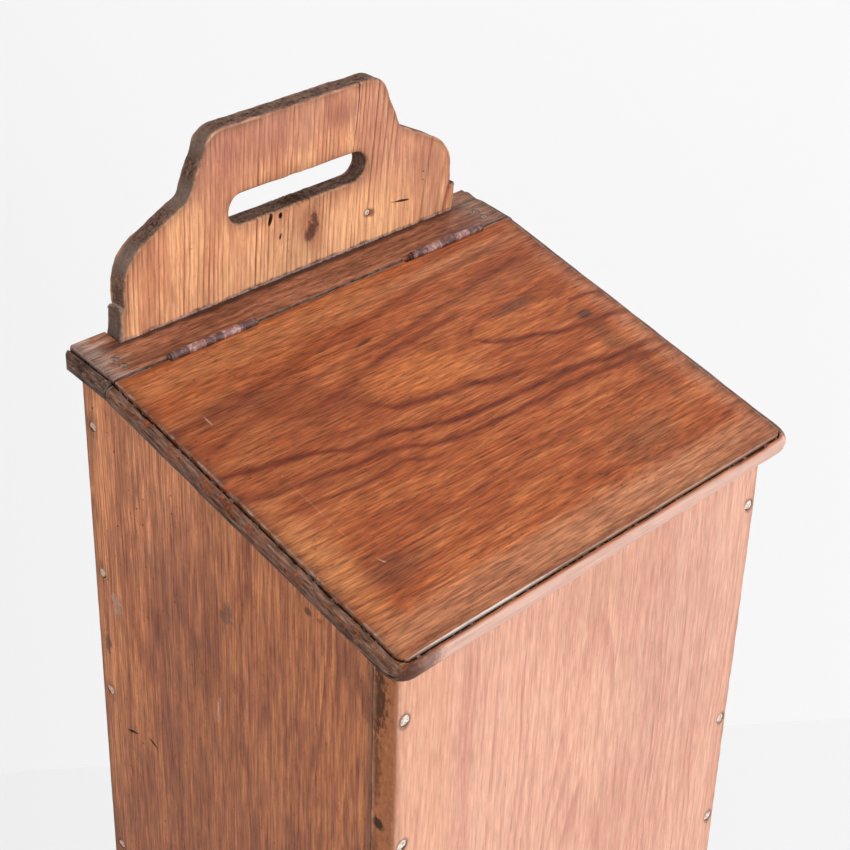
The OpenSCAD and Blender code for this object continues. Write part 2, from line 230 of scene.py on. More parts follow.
def loop_distance(spots: Array, loop: Array, chunk: int = 4096) -> Array:
    """Distance from each spot to the nearest side of a closed outline, worked out a chunk at a time.

    Args:
        spots: the spots, one row each.
        loop: the outline's points.
        chunk: the number of spots in a chunk.

    Returns:
        The distances.
    """
    sides = np.roll(loop, -1, 0) - loop
    lengths = np.maximum((sides**2).sum(-1), 1e-12)
    found = []
    for first in range(0, len(spots), chunk):
        gaps = spots[first : first + chunk, None, :] - loop[None]
        share = np.clip((gaps * sides).sum(-1) / lengths, 0, 1)
        found.append(np.sqrt(((gaps - share[..., None] * sides) ** 2).sum(-1)).min(1))
    return np.concatenate(found)


# Meshes


def add_object(name: str, data: bpy.types.ID) -> bpy.types.Object:
    """A new object for some data, in the scene's collection."""
    made = bpy.data.objects.new(name, data)
    bpy.context.scene.collection.objects.link(made)
    return made


def mesh_piece(name: str, points: Array, faces: Sequence[Sequence[int]]) -> bpy.types.Object:
    """Object with a mesh in the chest's frame.

    Args:
        name: the piece's name.
        points: its points, in millimetres from the hinge line.
        faces: each face's point numbers.

    Returns:
        The object, at the origin, with its place in its mesh.
    """
    mesh = bpy.data.meshes.new(name)
    place = (np.asarray(points, float).reshape(-1, 3) + DATUM) * MM
    mesh.from_pydata(place.tolist(), [], faces)
    return add_object(name, mesh)


def own_points(piece: bpy.types.Object) -> Array:
    """A piece's points, in millimetres from the hinge line."""
    flat = np.zeros(len(piece.data.vertices) * 3)
    piece.data.vertices.foreach_get("co", flat)
    return flat.reshape(-1, 3) / MM - DATUM


@contextmanager
def edited(mesh: bpy.types.Mesh) -> Iterator[bmesh.types.BMesh]:
    """A mesh opened for changes, and filled again with the result."""
    work = bmesh.new()
    work.from_mesh(mesh)
    yield work
    work.to_mesh(mesh)
    work.free()


def axes_about(heading: Point) -> tuple[Array, Array, Array]:
    """The unit vector along a heading, and two that are square to it, to draw rings with."""
    ahead = np.array(heading) / np.linalg.norm(heading)
    side = np.cross(ahead, [0.31, 0.77, 0.55])
    side /= np.linalg.norm(side)
    return ahead, side, np.cross(ahead, side)


def grid_faces(rows: int, columns: int, close_rows: bool) -> list[list[int]]:
    """Faces of a grid whose columns wrap round, and whose rows may wrap too.

    Args:
        rows: the number of rows.
        columns: the points in each row.
        close_rows: whether the last row joins the first, or else each end row is capped by one face.

    Returns:
        The faces, as lists of point numbers.
    """
    last = rows if close_rows else rows - 1
    row, column = np.meshgrid(np.arange(last), np.arange(columns), indexing="ij")
    beside, below = (column + 1) % columns, (row + 1) % rows
    here, there = row * columns, below * columns
    quads = np.stack([here + column, here + beside, there + beside, there + column], -1)
    faces = quads.reshape(-1, 4)[:, ::-1].tolist()
    if not close_rows:
        faces.append(list(range(columns)))
        faces.append([(rows - 1) * columns + i for i in reversed(range(columns))])
    return faces


def tidy_mesh(piece: bpy.types.Object, crease: float = 38.0) -> None:
    """Points the faces outwards and shades them smooth, except over creases.

    Args:
        piece: the piece.
        crease: the least angle of a sharp edge, in degrees.
    """
    with edited(piece.data) as work:
        bmesh.ops.remove_doubles(work, verts=work.verts, dist=1e-6)
        bmesh.ops.recalc_face_normals(work, faces=work.faces)
    piece.data.shade_smooth()
    piece.data.set_sharp_from_angle(angle=math.radians(crease))


def carve(piece: bpy.types.Object, tool: bpy.types.Object, operation: str = "DIFFERENCE") -> None:
    """Cuts a piece with a closed tool, and removes the tool.

    Args:
        piece: the piece, whose mesh is replaced by the result.
        tool: the closed shape that cuts.
        operation: DIFFERENCE, or INTERSECT to keep what lies inside the tool.
    """
    for shape in (piece, tool):
        with edited(shape.data) as work:
            bmesh.ops.recalc_face_normals(work, faces=work.faces)
    cut = piece.modifiers.new("cut", "BOOLEAN")
    cut.operation = operation
    cut.solver = "EXACT"
    cut.object = tool
    bpy.context.view_layer.update()
    graph = bpy.context.evaluated_depsgraph_get()
    result = bpy.data.meshes.new_from_object(piece.evaluated_get(graph))
    piece.modifiers.clear()
    old = piece.data
    piece.data = result
    result.name = piece.name
    bpy.data.meshes.remove(old)
    bpy.data.objects.remove(tool)


def prism(section: Array, near: float, far: float, axes: tuple[int, int, int]) -> bpy.types.Object:
    """Closed bar with one section all along.

    Args:
        section: the section's points, as pairs.
        near: where it starts.
        far: where it ends.
        axes: which of x, y and z the section's two coordinates and the bar's length run along.

    Returns:
        The bar.
    """
    count = len(section)
    points = np.zeros((2 * count, 3))
    points[:, axes[0]] = np.tile(section[:, 0], 2)
    points[:, axes[1]] = np.tile(section[:, 1], 2)
    points[:, axes[2]] = np.repeat([near, far], count)
    return mesh_piece("tool", points, grid_faces(2, count, False))


def drill(centres: Array, radii: Array, lengths: Array, heading: Point, sides: int = 9) -> bpy.types.Object:
    """Closed round bits, all in one tool, each going from just outside a face into the wood.

    Args:
        centres: a point on the face for each bit.
        radii: each bit's radius.
        lengths: each bit's depth.
        heading: the direction into the wood.
        sides: the number of sides of a bit.

    Returns:
        The tool.
    """
    ahead, side, other = axes_about(heading)
    angles = np.arange(sides) * TAU / sides
    ring = np.cos(angles)[:, None] * side + np.sin(angles)[:, None] * other
    starts = centres[:, None] - ahead + ring * radii[:, None, None]
    ends = centres[:, None] + ahead * lengths[:, None, None] + ring * radii[:, None, None] * 0.8
    points = np.stack([starts, ends], 1).reshape(-1, 3)
    faces: list[list[int]] = []
    for first in range(0, len(points), 2 * sides):
        faces += [[first + index for index in face] for face in grid_faces(2, sides, False)]
    return mesh_piece("tool", points, faces)


def sink_nails(piece: bpy.types.Object, spots: Array, radius: float, heading: Point, sides: int = 20) -> None:
    """Cuts a round hollow into a face for each nail's head.

    Args:
        piece: the board.
        spots: the middles of the heads.
        radius: the hollows' radius.
        heading: the direction into the wood.
        sides: the number of sides of a hollow.
    """
    count = len(spots)
    carve(piece, drill(spots, np.full(count, radius), np.full(count, NAIL_SINK), heading, sides))


def crack(path: Array, width: Array, depth: Array, into: Point) -> bpy.types.Object:
    """Closed wedge along a path on a face: wide at the face and closing to a line at its depth.

    Args:
        path: points on the face, in order.
        width: the crack's width at each point.
        depth: its depth at each point.
        into: the direction into the wood.

    Returns:
        The tool.
    """
    ahead = np.array(into, float)
    along = np.gradient(path, axis=0)
    across = np.cross(along, ahead)
    across /= np.linalg.norm(across, axis=1)[:, None]
    top = path - ahead
    aside = across * width[:, None]
    rows = np.stack([top - aside, top + aside, path + ahead * depth[:, None]], 1)
    return mesh_piece("tool", rows.reshape(-1, 3), grid_faces(len(path), 3, False))


class Wear(Enum):
    """How far an arris has been rubbed down: the mean radius in millimetres, its variation and its chips."""

    CRISP = (0.35, 0.1, 0.0)
    EASED = (0.9, 0.3, 0.4)
    WORN = (1.7, 0.5, 1.3)

    def radius(self, travel: Array, seed: int) -> Array:
        """The arris radius at each distance along an outline."""
        mean, swing, chip = self.value
        rubbed = mean + swing * waves(travel, travel * 0, seed, 90, 7)
        count = int(travel.max() / 45) + 1
        return np.clip(rubbed + bites(travel, seed + 1, count, 5, chip), 0.3 * mean, 3.2)


@dataclass
class Slab:
    """A board whose outline lies in one plane and whose thickness runs square to it."""

    name: str
    loop: Loop
    thickness: float
    place: Callable[[Array, Array, Array], Array]
    wear: Wear = Wear.EASED
    seed: int = 1
    core: Union[Loop, None] = None
    knee: Union[Array, None] = None
    saw_marks: float = 0.1
    hollow: float = 0.1

    def face_rows(self, rim: Array, core: Array, depth: float, sign: float) -> list[Array]:
        """Rows over one face, from the core loop straight to the knee and on to the rim.

        Args:
            rim: the face's outer points.
            core: the face's inner points.
            depth: the face's depth from the front.
            sign: which way hollows go.

        Returns:
            Rows of points in the board's own coordinates.
        """
        knee = core + 0.5 * (rim - core) if self.knee is None else self.knee
        rows = []
        for share in FACE_SHARES:
            inside, outside = core + 2 * share * (knee - core), knee + (2 * share - 1) * (rim - knee)
            spots = inside if share < 0.5 else outside
            dip = self.hollow * (1 + waves(spots[:, 0], spots[:, 1], self.seed + 5, 130, 28))
            rows.append(np.column_stack([spots, depth + sign * np.maximum(dip, 0) * (1 - share) ** 0.3]))
        return rows

    def edge_rows(self, loop: Loop, seed: int) -> list[Array]:
        """Rows over one edge: the front arris, the sawn wall and the back arris.

        The arrises are quarter rounds whose radius changes along the outline. The wall between them moves in
        and out with the saw's marks.

        Args:
            loop: the outline.
            seed: picks the wear.

        Returns:
            Rows of points in the board's own coordinates.
        """
        front, back = self.wear.radius(loop.travel, seed), self.wear.radius(loop.travel, seed + 20)
        insets, depths = [], []
        for turn in np.linspace(0, math.pi / 2, 6):
            insets.append(front * (1 - math.sin(turn)))
            depths.append(front * (1 - math.cos(turn)))
        for share in (0.15, 0.32, 0.5, 0.68, 0.85):
            depths.append(front + share * (self.thickness - front - back))
            rough = self.saw_marks * (1 + waves(loop.travel, depths[-1], seed + 3, 14, 2.4))
            insets.append(np.maximum(rough * math.sin(math.pi * share), 0))
        for turn in np.linspace(math.pi / 2, 0, 6):
            insets.append(back * (1 - math.sin(turn)))
            depths.append(self.thickness - back * (1 - math.cos(turn)))
        return [np.column_stack([loop.inset(inset), depth]) for inset, depth in zip(insets, depths)]

    def build(self) -> bpy.types.Object:
        """The board's mesh, in rows over the front face, the edge, the back face and an open core."""
        edge = self.edge_rows(self.loop, self.seed)
        front, back = edge[0][:, :2], edge[-1][:, :2]
        if self.core is None:
            middle = self.loop.points.mean(0)
            inner = middle + CORE_SHARE * (self.loop.points - middle)
            rows = self.face_rows(front, inner, 0.0, 1.0)[:-1] + edge
            rows += self.face_rows(back, inner, self.thickness, -1.0)[-2::-1]
        else:
            bore = self.edge_rows(self.core, self.seed + 40)
            rows = self.face_rows(front, bore[0][:, :2], 0.0, 1.0)[1:-1] + edge
            rows += self.face_rows(back, bore[-1][:, :2], self.thickness, -1.0)[-2:0:-1] + bore[::-1]
        grid = np.stack(rows)
        points = self.place(grid[..., 0], grid[..., 1], grid[..., 2])
        piece = mesh_piece(self.name, points, grid_faces(len(rows), grid.shape[1], self.core is not None))
        tidy_mesh(piece)
        return piece

    def mark(self, piece: bpy.types.Object, unplace: Callable[[Array], Array]) -> None:
        """Writes where each point lies on the board, for its finish to read.

        arris is 1 on a worn arris, wall is 1 on a sawn edge, rim fades from the edge into the face, and sunk
        is 1 inside a hole or a crack.

        Args:
            piece: the finished piece.
            unplace: turns points of the chest into the board's own coordinates.
        """
        own = unplace(own_points(piece))
        inset = loop_distance(own[:, :2], self.loop.points)
        if self.core is not None:
            inset = np.minimum(inset, loop_distance(own[:, :2], self.core.points))
        depth = np.minimum(own[:, 2], self.thickness - own[:, 2])
        arris = np.exp(-((inset / 1.3) ** 2) - (np.maximum(depth, 0) / 1.3) ** 2)
        wall = np.clip(2.2 - inset / 0.9, 0, 1) * np.clip(depth / 1.6, 0, 1)
        sunk = np.clip((depth - 0.45) / 0.5, 0, 1) * np.clip((inset - 1.2) / 0.8, 0, 1)
        write_marks(piece, {"arris": arris, "wall": wall, "rim": np.exp(-inset / 7.0), "sunk": sunk})


def write_marks(piece: bpy.types.Object, marks: dict[str, Array]) -> None:
    """Stores numbers on a piece's points.

    Args:
        piece: the piece.
        marks: each name and its value at each point.
    """
    for name, values in marks.items():
        layer = piece.data.attributes.new(name, "FLOAT", "POINT")
        layer.data.foreach_set("value", np.asarray(values, np.float32))


# Shaders

Input = Union["Value", float, Sequence[float]]


class Value:
    """A value in a shader, on which arithmetic adds Math nodes."""

    def __init__(self, shader: "Shader", socket: bpy.types.NodeSocket) -> None:
        """Wraps a socket of a shader."""
        self.shader = shader
        self.socket = socket

    def _math(self, operation: str, first: Input, second: Input = 0.0) -> "Value":
        """One Math node."""
        return self.shader.node("ShaderNodeMath", {"operation": operation}, {0: first, 1: second})

    def __add__(self, other: Input) -> "Value":
        """This plus another."""
        return self._math("ADD", self, other)

    __radd__ = __add__

    def __mul__(self, other: Input) -> "Value":
        """This times another."""
        return self._math("MULTIPLY", self, other)

    def __sub__(self, other: Input) -> "Value":
        """This less another."""
        return self._math("SUBTRACT", self, other)

    def __rsub__(self, other: Input) -> "Value":
        """Another less this."""
        return self._math("SUBTRACT", other, self)

    def __truediv__(self, other: Input) -> "Value":
        """This over another."""
        return self._math("DIVIDE", self, other)

    def __pow__(self, other: Input) -> "Value":
        """This to a power."""
        return self._math("POWER", self, other)

    def fract(self) -> "Value":
        """What is left of the last whole number."""
        return self._math("FRACT", self)

    def floor(self) -> "Value":
        """The whole number below."""
        return self._math("FLOOR", self)

    def size(self) -> "Value":
        """This without its sign."""
        return self._math("ABSOLUTE", self)

    def exp(self) -> "Value":
        """The exponential of this."""
        return self._math("EXPONENT", self)

    def most(self, other: Input) -> "Value":
        """The larger of this and another."""
        return self._math("MAXIMUM", self, other)

    def clip(self) -> "Value":
        """This kept between 0 and 1."""
        return self.shader.node("ShaderNodeClamp", {}, {"Value": self})

    def step(self, low: float, high: float) -> "Value":
        """0 below low and 1 above high, with a smooth rise between; low may be the higher one."""
        inputs = {"Value": self, "From Min": low, "From Max": high}
        return self.shader.node("ShaderNodeMapRange", {"interpolation_type": "SMOOTHSTEP"}, inputs)


class Shader:
    """A material's node tree."""

    def __init__(self, name: str) -> None:
        """Starts an empty material."""
        self.material = bpy.data.materials.new(name)
        self.material.use_nodes = True
        self.tree = self.material.node_tree
        self.tree.nodes.clear()

    def node(self, kind: str, settings: dict, inputs: dict, output: Union[int, str] = 0) -> Value:
        """Adds a node, sets it up and then fills its sockets.

        Args:
            kind: the node's type.
            settings: properties to set first. curve is a list of a curve's (place, height) pairs.
            inputs: a value or a link for each socket, by name or number.
            output: the output that is wanted.

        Returns:
            That output's value.
        """
        made = self.tree.nodes.new(kind)
        for key, setting in settings.items():
            if key == "curve":
                self._set_curve(made.mapping, setting)
            else:
                setattr(made, key, setting)
        for key, value in inputs.items():
            if isinstance(value, Value):
                self.tree.links.new(value.socket, made.inputs[key])
            else:
                made.inputs[key].default_value = self._fit(value, made.inputs[key])
        return Value(self, made.outputs[output])

    @staticmethod
    def _fit(value: Union[float, Sequence[float]], socket: bpy.types.NodeSocket) -> Union[float, tuple]:
        """A number or a tuple that is as long as the socket wants it."""
        if socket.type == "RGBA" and len(value) == 3:
            return (*value, 1.0)
        return value

    @staticmethod
    def _set_curve(mapping: bpy.types.CurveMapping, stops: Sequence[tuple[float, float]]) -> None:
        """Fills a curve."""
        curve = mapping.curves[0]
        while len(curve.points) < len(stops):
            curve.points.new(0.5, 0.5)
        for point, spot in zip(curve.points, stops):
            point.location = spot
        mapping.update()

    def place(self) -> Value:
        """Millimetres from the hinge line, as a vector."""
        own = self.node("ShaderNodeTexCoord", {}, {}, "Object")
        settings = {"operation": "MULTIPLY_ADD"}
        inputs = {0: own, 1: (1 / MM,) * 3, 2: tuple(-DATUM)}
        return self.node("ShaderNodeVectorMath", settings, inputs)

    def dot(self, vector: Value, axis: Point) -> Value:
        """How far a vector reaches along an axis."""
        return self.node("ShaderNodeVectorMath", {"operation": "DOT_PRODUCT"}, {0: vector, 1: axis}, "Value")

    def vector(self, x: Input, y: Input, z: Input) -> Value:
        """A vector of three values."""
        return self.node("ShaderNodeCombineXYZ", {}, {0: x, 1: y, 2: z})

    def noise(self, vector: Value, detail: float = 2.0, rough: float = 0.5, bend: float = 0.0) -> Value:
        """Noise from 0 to 1 over a vector that is counted in its own waves."""
        inputs = {"Vector": vector, "Scale": 1.0, "Detail": detail, "Roughness": rough, "Distortion": bend}
        return self.node("ShaderNodeTexNoise", {}, inputs, "Fac")

    def lumps(self, scale: float, detail: float, rough: float) -> Value:
        """Noise that is alike in all directions, with a number of waves to the millimetre."""
        settings = {"operation": "SCALE"}
        scaled = self.node("ShaderNodeVectorMath", settings, {0: self.place(), "Scale": scale})
        return self.noise(scaled, detail, rough)

    def hash(self, number: Value) -> Value:
        """A random value from 0 to 1 for each whole number."""
        return self.node("ShaderNodeTexWhiteNoise", {"noise_dimensions": "1D"}, {"W": number}, "Value")

    def mark(self, name: str) -> Value:
        """A number stored on the piece's points."""
        return self.node("ShaderNodeAttribute", {"attribute_name": name}, {}, "Fac")

    def mix(self, first: Input, second: Input, share: Input) -> Value:
        """Two colours mixed by a share of the second."""
        settings = {"data_type": "RGBA", "clamp_factor": True}
        return self.node("ShaderNodeMix", settings, {0: share, 6: first, 7: second}, 2)

    def scale(self, colour: Input, amount: Value) -> Value:
        """A colour made brighter or darker by an amount."""
        grey = self.vector(amount, amount, amount)
        return self.node("ShaderNodeVectorMath", {"operation": "MULTIPLY"}, {0: colour, 1: grey})

    def finish(self, settings: dict, height: Union[Value, None], relief: float) -> bpy.types.Material:
        """Ends the material in a Principled surface.

        Args:
            settings: the surface's sockets.
            height: the relief's height, in millimetres.
            relief: the relief's strength.

        Returns:
            The material.
        """
        if height is not None:
            inputs = {"Height": height, "Strength": relief, "Distance": MM}
            settings = {**settings, "Normal": self.node("ShaderNodeBump", {}, inputs)}
        surface = self.node("ShaderNodeBsdfPrincipled", {}, settings)
        self.node_output(surface)
        return self.material

    def node_output(self, surface: Value) -> None:
        """Joins a surface to the material's output."""
        output = self.tree.nodes.new("ShaderNodeOutputMaterial")
        self.tree.links.new(surface.socket, output.inputs["Surface"])


# A spot that is softer than this is laid under the rings, such as a stain or the painted sheen along the
# lid's front, and one more ragged than this has a lumpy rim
UNDER_RING_SOFTNESS = 1.1
LUMPY_RIM = 3
# Painted shade at the bottom of holes, cracks and the quirk, and the colour of pale flecks painted in the
# quirk as glints
HOLE_SHADE = (0.006, 0.004, 0.003)
QUIRK_GLINT = (0.46, 0.35, 0.29)


@dataclass(frozen=True)
class Spot:
    """A spot on a board, such as a stain, a knot, a mark, a painted highlight or painted shade: its middle
    across the grain, or in depth, and along it.
    """

    across: float
    along: float
    half_across: float
    half_along: float
    colour: Colour
    strength: float = 0.8
    softness: float = 0.6
    lean: float = 0.0
    ragged: float = 0.9
    on_wall: bool = False
    by_depth: bool = False

    def mask(self, g: Value, a: Value, rough: Value) -> Value:
        """Share of the spot: 1 inside its ellipse, fading over its soft rim, which noise makes ragged."""
        cosine, sine = math.cos(self.lean), math.sin(self.lean)
        da, dg = a - self.across, g - self.along
        u = (da * cosine + dg * sine) / self.half_across
        v = (dg * cosine - da * sine) / self.half_along
        reach = (u * u + v * v) ** 0.5 + (rough - 0.5) * self.ragged
        return reach.step(1.0 + self.softness * 0.5, 1.0 - self.softness * 0.5) * self.strength


@dataclass(frozen=True)
class Band:
    """A band of late wood through points (along, across), crisp on its far side and soft on its near one."""

    points: tuple[tuple[float, float], ...]
    width: float
    strength: float

    def mask(self, sh: Shader, g: Value, a: Value, bend: Value) -> Value:
        """Share of the band: it rises softly up to the line through the points, and falls fast behind it."""
        across = [q for _, q in self.points]
        first, span = self.points[0][0], self.points[-1][0] - self.points[0][0]
        low, rise = min(across), max(max(across) - min(across), 1.0)
        stops = [((p - first) / span, (q - low) / rise) for p, q in self.points]
        share = (g - first) / span
        line = sh.node("ShaderNodeFloatCurve", {"curve": stops}, {"Factor": 1.0, "Value": share.clip()})
        u = (a + bend - (line * rise + low)) / self.width
        ends = share.step(-0.06, 0.05) * share.step(1.06, 0.9)
        return u.step(-0.8, 0.0) * u.step(0.6, 0.0) * ends * self.strength


@dataclass(frozen=True)
class Grain:
    """A board's own distances in a shader: along the grain, across it and in depth."""

    sh: Shader
    along: Value
    across: Value
    deep: Value
    seed: float

    def noise(
        self, lengths: Point, shifted: int, detail: float, rough: float = 0.5, bend: float = 0.0
    ) -> Value:
        """Noise that is stretched along the grain.

        Args:
            lengths: the length of a wave in each of the three directions.
            shifted: the direction that the seed shifts it in.
            detail: how many finer noises are added.
            rough: the strength of each finer noise, as a share of the one before.
            bend: how much the noise is bent.

        Returns:
            The noise, from 0 to 1.
        """
        parts = [part / length for part, length in zip((self.along, self.across, self.deep), lengths)]
        parts[shifted] = parts[shifted] + self.seed
        return self.sh.noise(self.sh.vector(*parts), detail, rough, bend)


@dataclass(frozen=True)
class Texture:
    """The noises that a board's colours and its relief share."""

    ring: Value
    hair: Value
    fibre: Value
    streak: Value
    speck: Value
    patch: Value
    cloud: Value
    lump: Value
    pore: Value


@dataclass(frozen=True)
class Pine:
    """Old waxed pine: rings round a pith, fibres, pores, stains, rim grime, rubbed arrises and painted light
    and shade.
    """

    name: str
    along: Point
    across: Point
    through: Point
    early: Colour
    late: Colour
    gold: Colour
    gold_strength: float = 0.5
    pith_across: float = 0.0
    pith_deep: float = 60.0
    taper: float = 0.05
    ring_pitch: float = 4.0
    ring_strength: float = 0.8
    ring_start: float = 0.2
    wander: float = 8.0
    mottle: float = 0.3
    pores: float = 0.4
    fibre: float = 0.3
    hair_length: float = 11.0
    streak: float = 0.2
    seed: float = 0.0
    grime: Colour = (0.03, 0.016, 0.011)
    grime_strength: float = 0.6
    bare: Colour = (0.42, 0.27, 0.20)
    bare_strength: float = 0.5
    wall_colour: Colour = (0.05, 0.027, 0.017)
    wall_strength: float = 0.8
    wall_rough: float = 4.2
    joint: bool = False
    moulded: bool = False
    end_colour: Colour = (0.07, 0.04, 0.028)
    # Colour of the painted glare on the belly of the front moulding
    worn: Colour = (0.56, 0.37, 0.31)
    gloss: float = 0.42
    wax: float = 0.05
    # Colour of the painted shade on the end grain under the nose
    under_nose_shade: Colour = (0.10, 0.07, 0.06)
    shine: float = 0.12
    face: float = 0.0
    spots: tuple[Spot, ...] = ()
    late_spots: tuple[Spot, ...] = ()
    bands: tuple[Band, ...] = ()

    def rings(self, grain: Grain) -> Value:
        """Darkness of the yearly rings.

        A ring's number is the distance from a pith that sinks along the grain, over the ring's pitch. Each
        year darkens slowly towards its end, by an amount of its own, and stops short at the next.

        Args:
            grain: the board's own distances.

        Returns:
            0 in early wood and 1 in late wood.
        """
        sh, g, a, d = grain.sh, grain.along, grain.across, grain.deep
        broad = grain.noise((170.0, 75.0, 75.0), 0, 1.0)
        small = grain.noise((45.0, 22.0, 22.0), 1, 2.0)
        side = a - self.pith_across + (broad - 0.5) * (4.0 * self.wander)
        side = side + (small - 0.5) * (0.7 * self.wander)
        deep = d + self.pith_deep - g * self.taper
        radius = (side * side + deep * deep) ** 0.5
        uneven = sh.noise(sh.vector(radius / (4.0 * self.ring_pitch), self.seed, 0.0), 1.0)
        years = radius / self.ring_pitch + uneven * 2.4
        year = years.fract()
        dark = year.step(self.ring_start, 0.86) * year.step(1.0, 0.88)
        own = sh.hash(years.floor() + self.seed)
        faint = sh.noise(sh.vector(g / 90.0, a / 30.0, self.seed), 1.0).step(0.3, 0.65)
        return dark * (own * 0.8 + 0.2) * (faint * 0.7 + 0.3)

    def texture(self, grain: Grain) -> Texture:
        """The board's noises: rings, hairs, fibres, pores, streaks, patches, and clouds and lumps of dirt."""
        dash = grain.noise((4.2, 0.9, 0.9), 1, 0.0)
        speck = grain.noise((1.6, 1.6, 1.6), 0, 1.0)
        cloud = grain.noise((20.0, 11.0, 11.0), 2, 4.0, 0.65)
        pits = dash.step(0.67, 0.75).most(speck.step(0.71, 0.77) * 0.7)
        return Texture(
            ring=self.rings(grain),
            hair=grain.noise((self.hair_length, 1.4, 1.4), 1, 1.0, 0.6),
            fibre=grain.noise((3.4 * self.hair_length, 1.9, 1.9), 1, 2.0, 0.6, 0.1),
            streak=grain.noise((90.0, 4.4, 4.4), 2, 3.0, 0.62, 0.3),
            speck=speck,
            patch=grain.noise((80.0, 22.0, 22.0), 0, 4.0, 0.62, 0.4),
            cloud=cloud,
            lump=grain.noise((6.0, 6.0, 3.0), 0, 4.0, 0.72),
            pore=pits * (cloud.step(0.4, 0.6) * 0.7 + 0.3),
        )

    def wood(self, grain: Grain, tex: Texture) -> Value:
        """Colour of the faces: the wood, then stains and painted sheen, rings, bands, marks (some of them
        painted light or shade), hairs and pores over one another.

        Args:
            grain: the board's own distances.
            tex: its noises.

        Returns:
            The colour.
        """
        sh, g, a = grain.sh, grain.along, grain.across
        on_face = [spot for spot in self.spots if not spot.on_wall]
        light = (tex.patch * 0.5 + tex.streak * 0.5).step(0.47, 0.60)
        colour = sh.mix(self.early, self.gold, light * self.gold_strength)
        for spot in on_face:
            if spot.softness > UNDER_RING_SOFTNESS:
                colour = sh.mix(colour, spot.colour, spot.mask(g, a, tex.cloud))
        colour = sh.mix(colour, self.late, tex.ring * self.ring_strength)
        colour = sh.mix(colour, self.late, tex.streak.step(0.52, 0.34) * self.streak)
        colour = sh.mix(colour, self.late, tex.patch.step(0.52, 0.34) * self.mottle)
        bend = (tex.cloud - 0.5) * 2.5
        for band in self.bands:
            colour = sh.mix(colour, self.late, band.mask(sh, g, a, bend) * (tex.cloud * 0.8 + 0.6))
        # Marks stay within a few millimetres of the outer face
        skin = (grain.deep - self.face).step(8.0, 4.0)
        for spot in on_face:
            if spot.softness <= UNDER_RING_SOFTNESS:
                ragged = tex.lump if spot.ragged > LUMPY_RIM else tex.cloud
                colour = sh.mix(colour, spot.colour, spot.mask(g, a, ragged) * skin)
        colour = sh.mix(colour, self.late, tex.fibre.step(0.60, 0.72) * (self.fibre * 0.8))
        shade = 1.0 + (0.5 - tex.fibre) * (1.4 * self.fibre) + (0.5 - tex.hair) * (5.6 * self.fibre)
        colour = sh.scale(colour, shade + (tex.cloud - 0.5) * self.mottle)
        return sh.mix(colour, self.grime, tex.pore * self.pores)

    def moulding(self, colour: Value, grain: Grain, tex: Texture, end: Value, low: Value) -> Value:
        """Colour of a moulded board: grey end grain, painted shade on it under the nose, and painted glare on
        the belly of the front edge.

        Args:
            colour: the colour so far.
            grain: the board's own distances.
            tex: its noises.
            end: 1 on end grain.
            low: 1 on the lower part of the edge.

        Returns:
            The colour.
        """
        sh, g, a = grain.sh, grain.along, grain.across
        run = sh.noise(sh.vector(a / 15.0 + self.seed, g / 1.8, grain.deep / 1.8), 3.0, 0.65, 0.2)
        grey = sh.scale(self.end_colour, (run - 0.5) * 8.0 + 1.0)
        colour = sh.mix(colour, grey, end * (run * 0.9 + tex.cloud * 0.5).step(0.50, 0.70) * 0.95)
        # Painted shade: the lower part of the end grain, under the nose, is darkened
        colour = sh.mix(colour, sh.scale(self.under_nose_shade, (run - 0.5) * 9.0 + 1.0), end * low * 0.92)
        soft = 1.0 + (0.5 - tex.fibre) * 0.7 + (0.5 - tex.cloud) * 0.6
        # Painted glare: the belly of the front moulding is made pale, where it would catch light from the
        # floor
        colour = sh.mix(colour, sh.scale(self.worn, soft), sh.mark("worn") * (tex.cloud * 0.6 + 0.62).clip())
        # Late spots go on last: on the lid they paint the highlight along the front arris
        for spot in self.late_spots:
            colour = sh.mix(colour, spot.colour, spot.mask(g, a, tex.lump))
        return colour

    def material(self) -> bpy.types.Material:
        """The finish's material."""
        sh = Shader(self.name)
        place = sh.place()
        g, a, d = sh.dot(place, self.along), sh.dot(place, self.across), sh.dot(place, self.through)
        grain = Grain(sh, g, a, d, self.seed)
        tex = self.texture(grain)
        colour = self.wood(grain, tex)
        rim, arris, wall, sunk = sh.mark("rim"), sh.mark("arris"), sh.mark("wall"), sh.mark("sunk")
        if self.joint:
            beside = sh.dot(place, ACROSS_Y).size()
            rim = rim.most((0.0 - beside / 4.0).exp() * 0.9)
            wall = wall.most(beside.step(0.78, 0.72))
            arris = arris.most(beside.step(1.5, 1.0) * 0.8)
        dirt = (rim * (tex.cloud * 1.5 + (1.0 - tex.hair) * 0.25)).step(0.25, 0.9)
        colour = sh.mix(colour, self.grime, dirt * self.grime_strength)
        rough = self.gloss + (tex.cloud - 0.5) * 0.3 + tex.pore * 0.2 + wall * 0.4 + sunk * 0.4
        if self.moulded:
            end, low = sh.mark("end"), sh.mark("low")
            colour = self.moulding(colour, grain, tex, end, low)
            rough = rough + end * 0.2 + low * 0.3
        sawn = 1.0 + (tex.lump - 0.5) * self.wall_rough + (0.5 - tex.speck) * (0.4 * self.wall_rough)
        colour = sh.mix(colour, sh.scale(self.wall_colour, sawn), wall * self.wall_strength)
        for spot in self.spots:
            if spot.on_wall:
                mask = spot.mask(g, d if spot.by_depth else a, tex.lump) * wall
                if spot.by_depth:
                    mask = mask * a.size().step(158.0, 168.0)
                colour = sh.mix(colour, spot.colour, mask)
        rubbed = arris * (tex.lump * 0.6 + tex.cloud * 0.8).step(0.58, 0.88)
        colour = sh.mix(colour, self.bare, rubbed * self.bare_strength)
        # Painted shade: holes, cracks and the quirk are filled with near black
        colour = sh.mix(colour, HOLE_SHADE, sunk)
        if self.moulded:
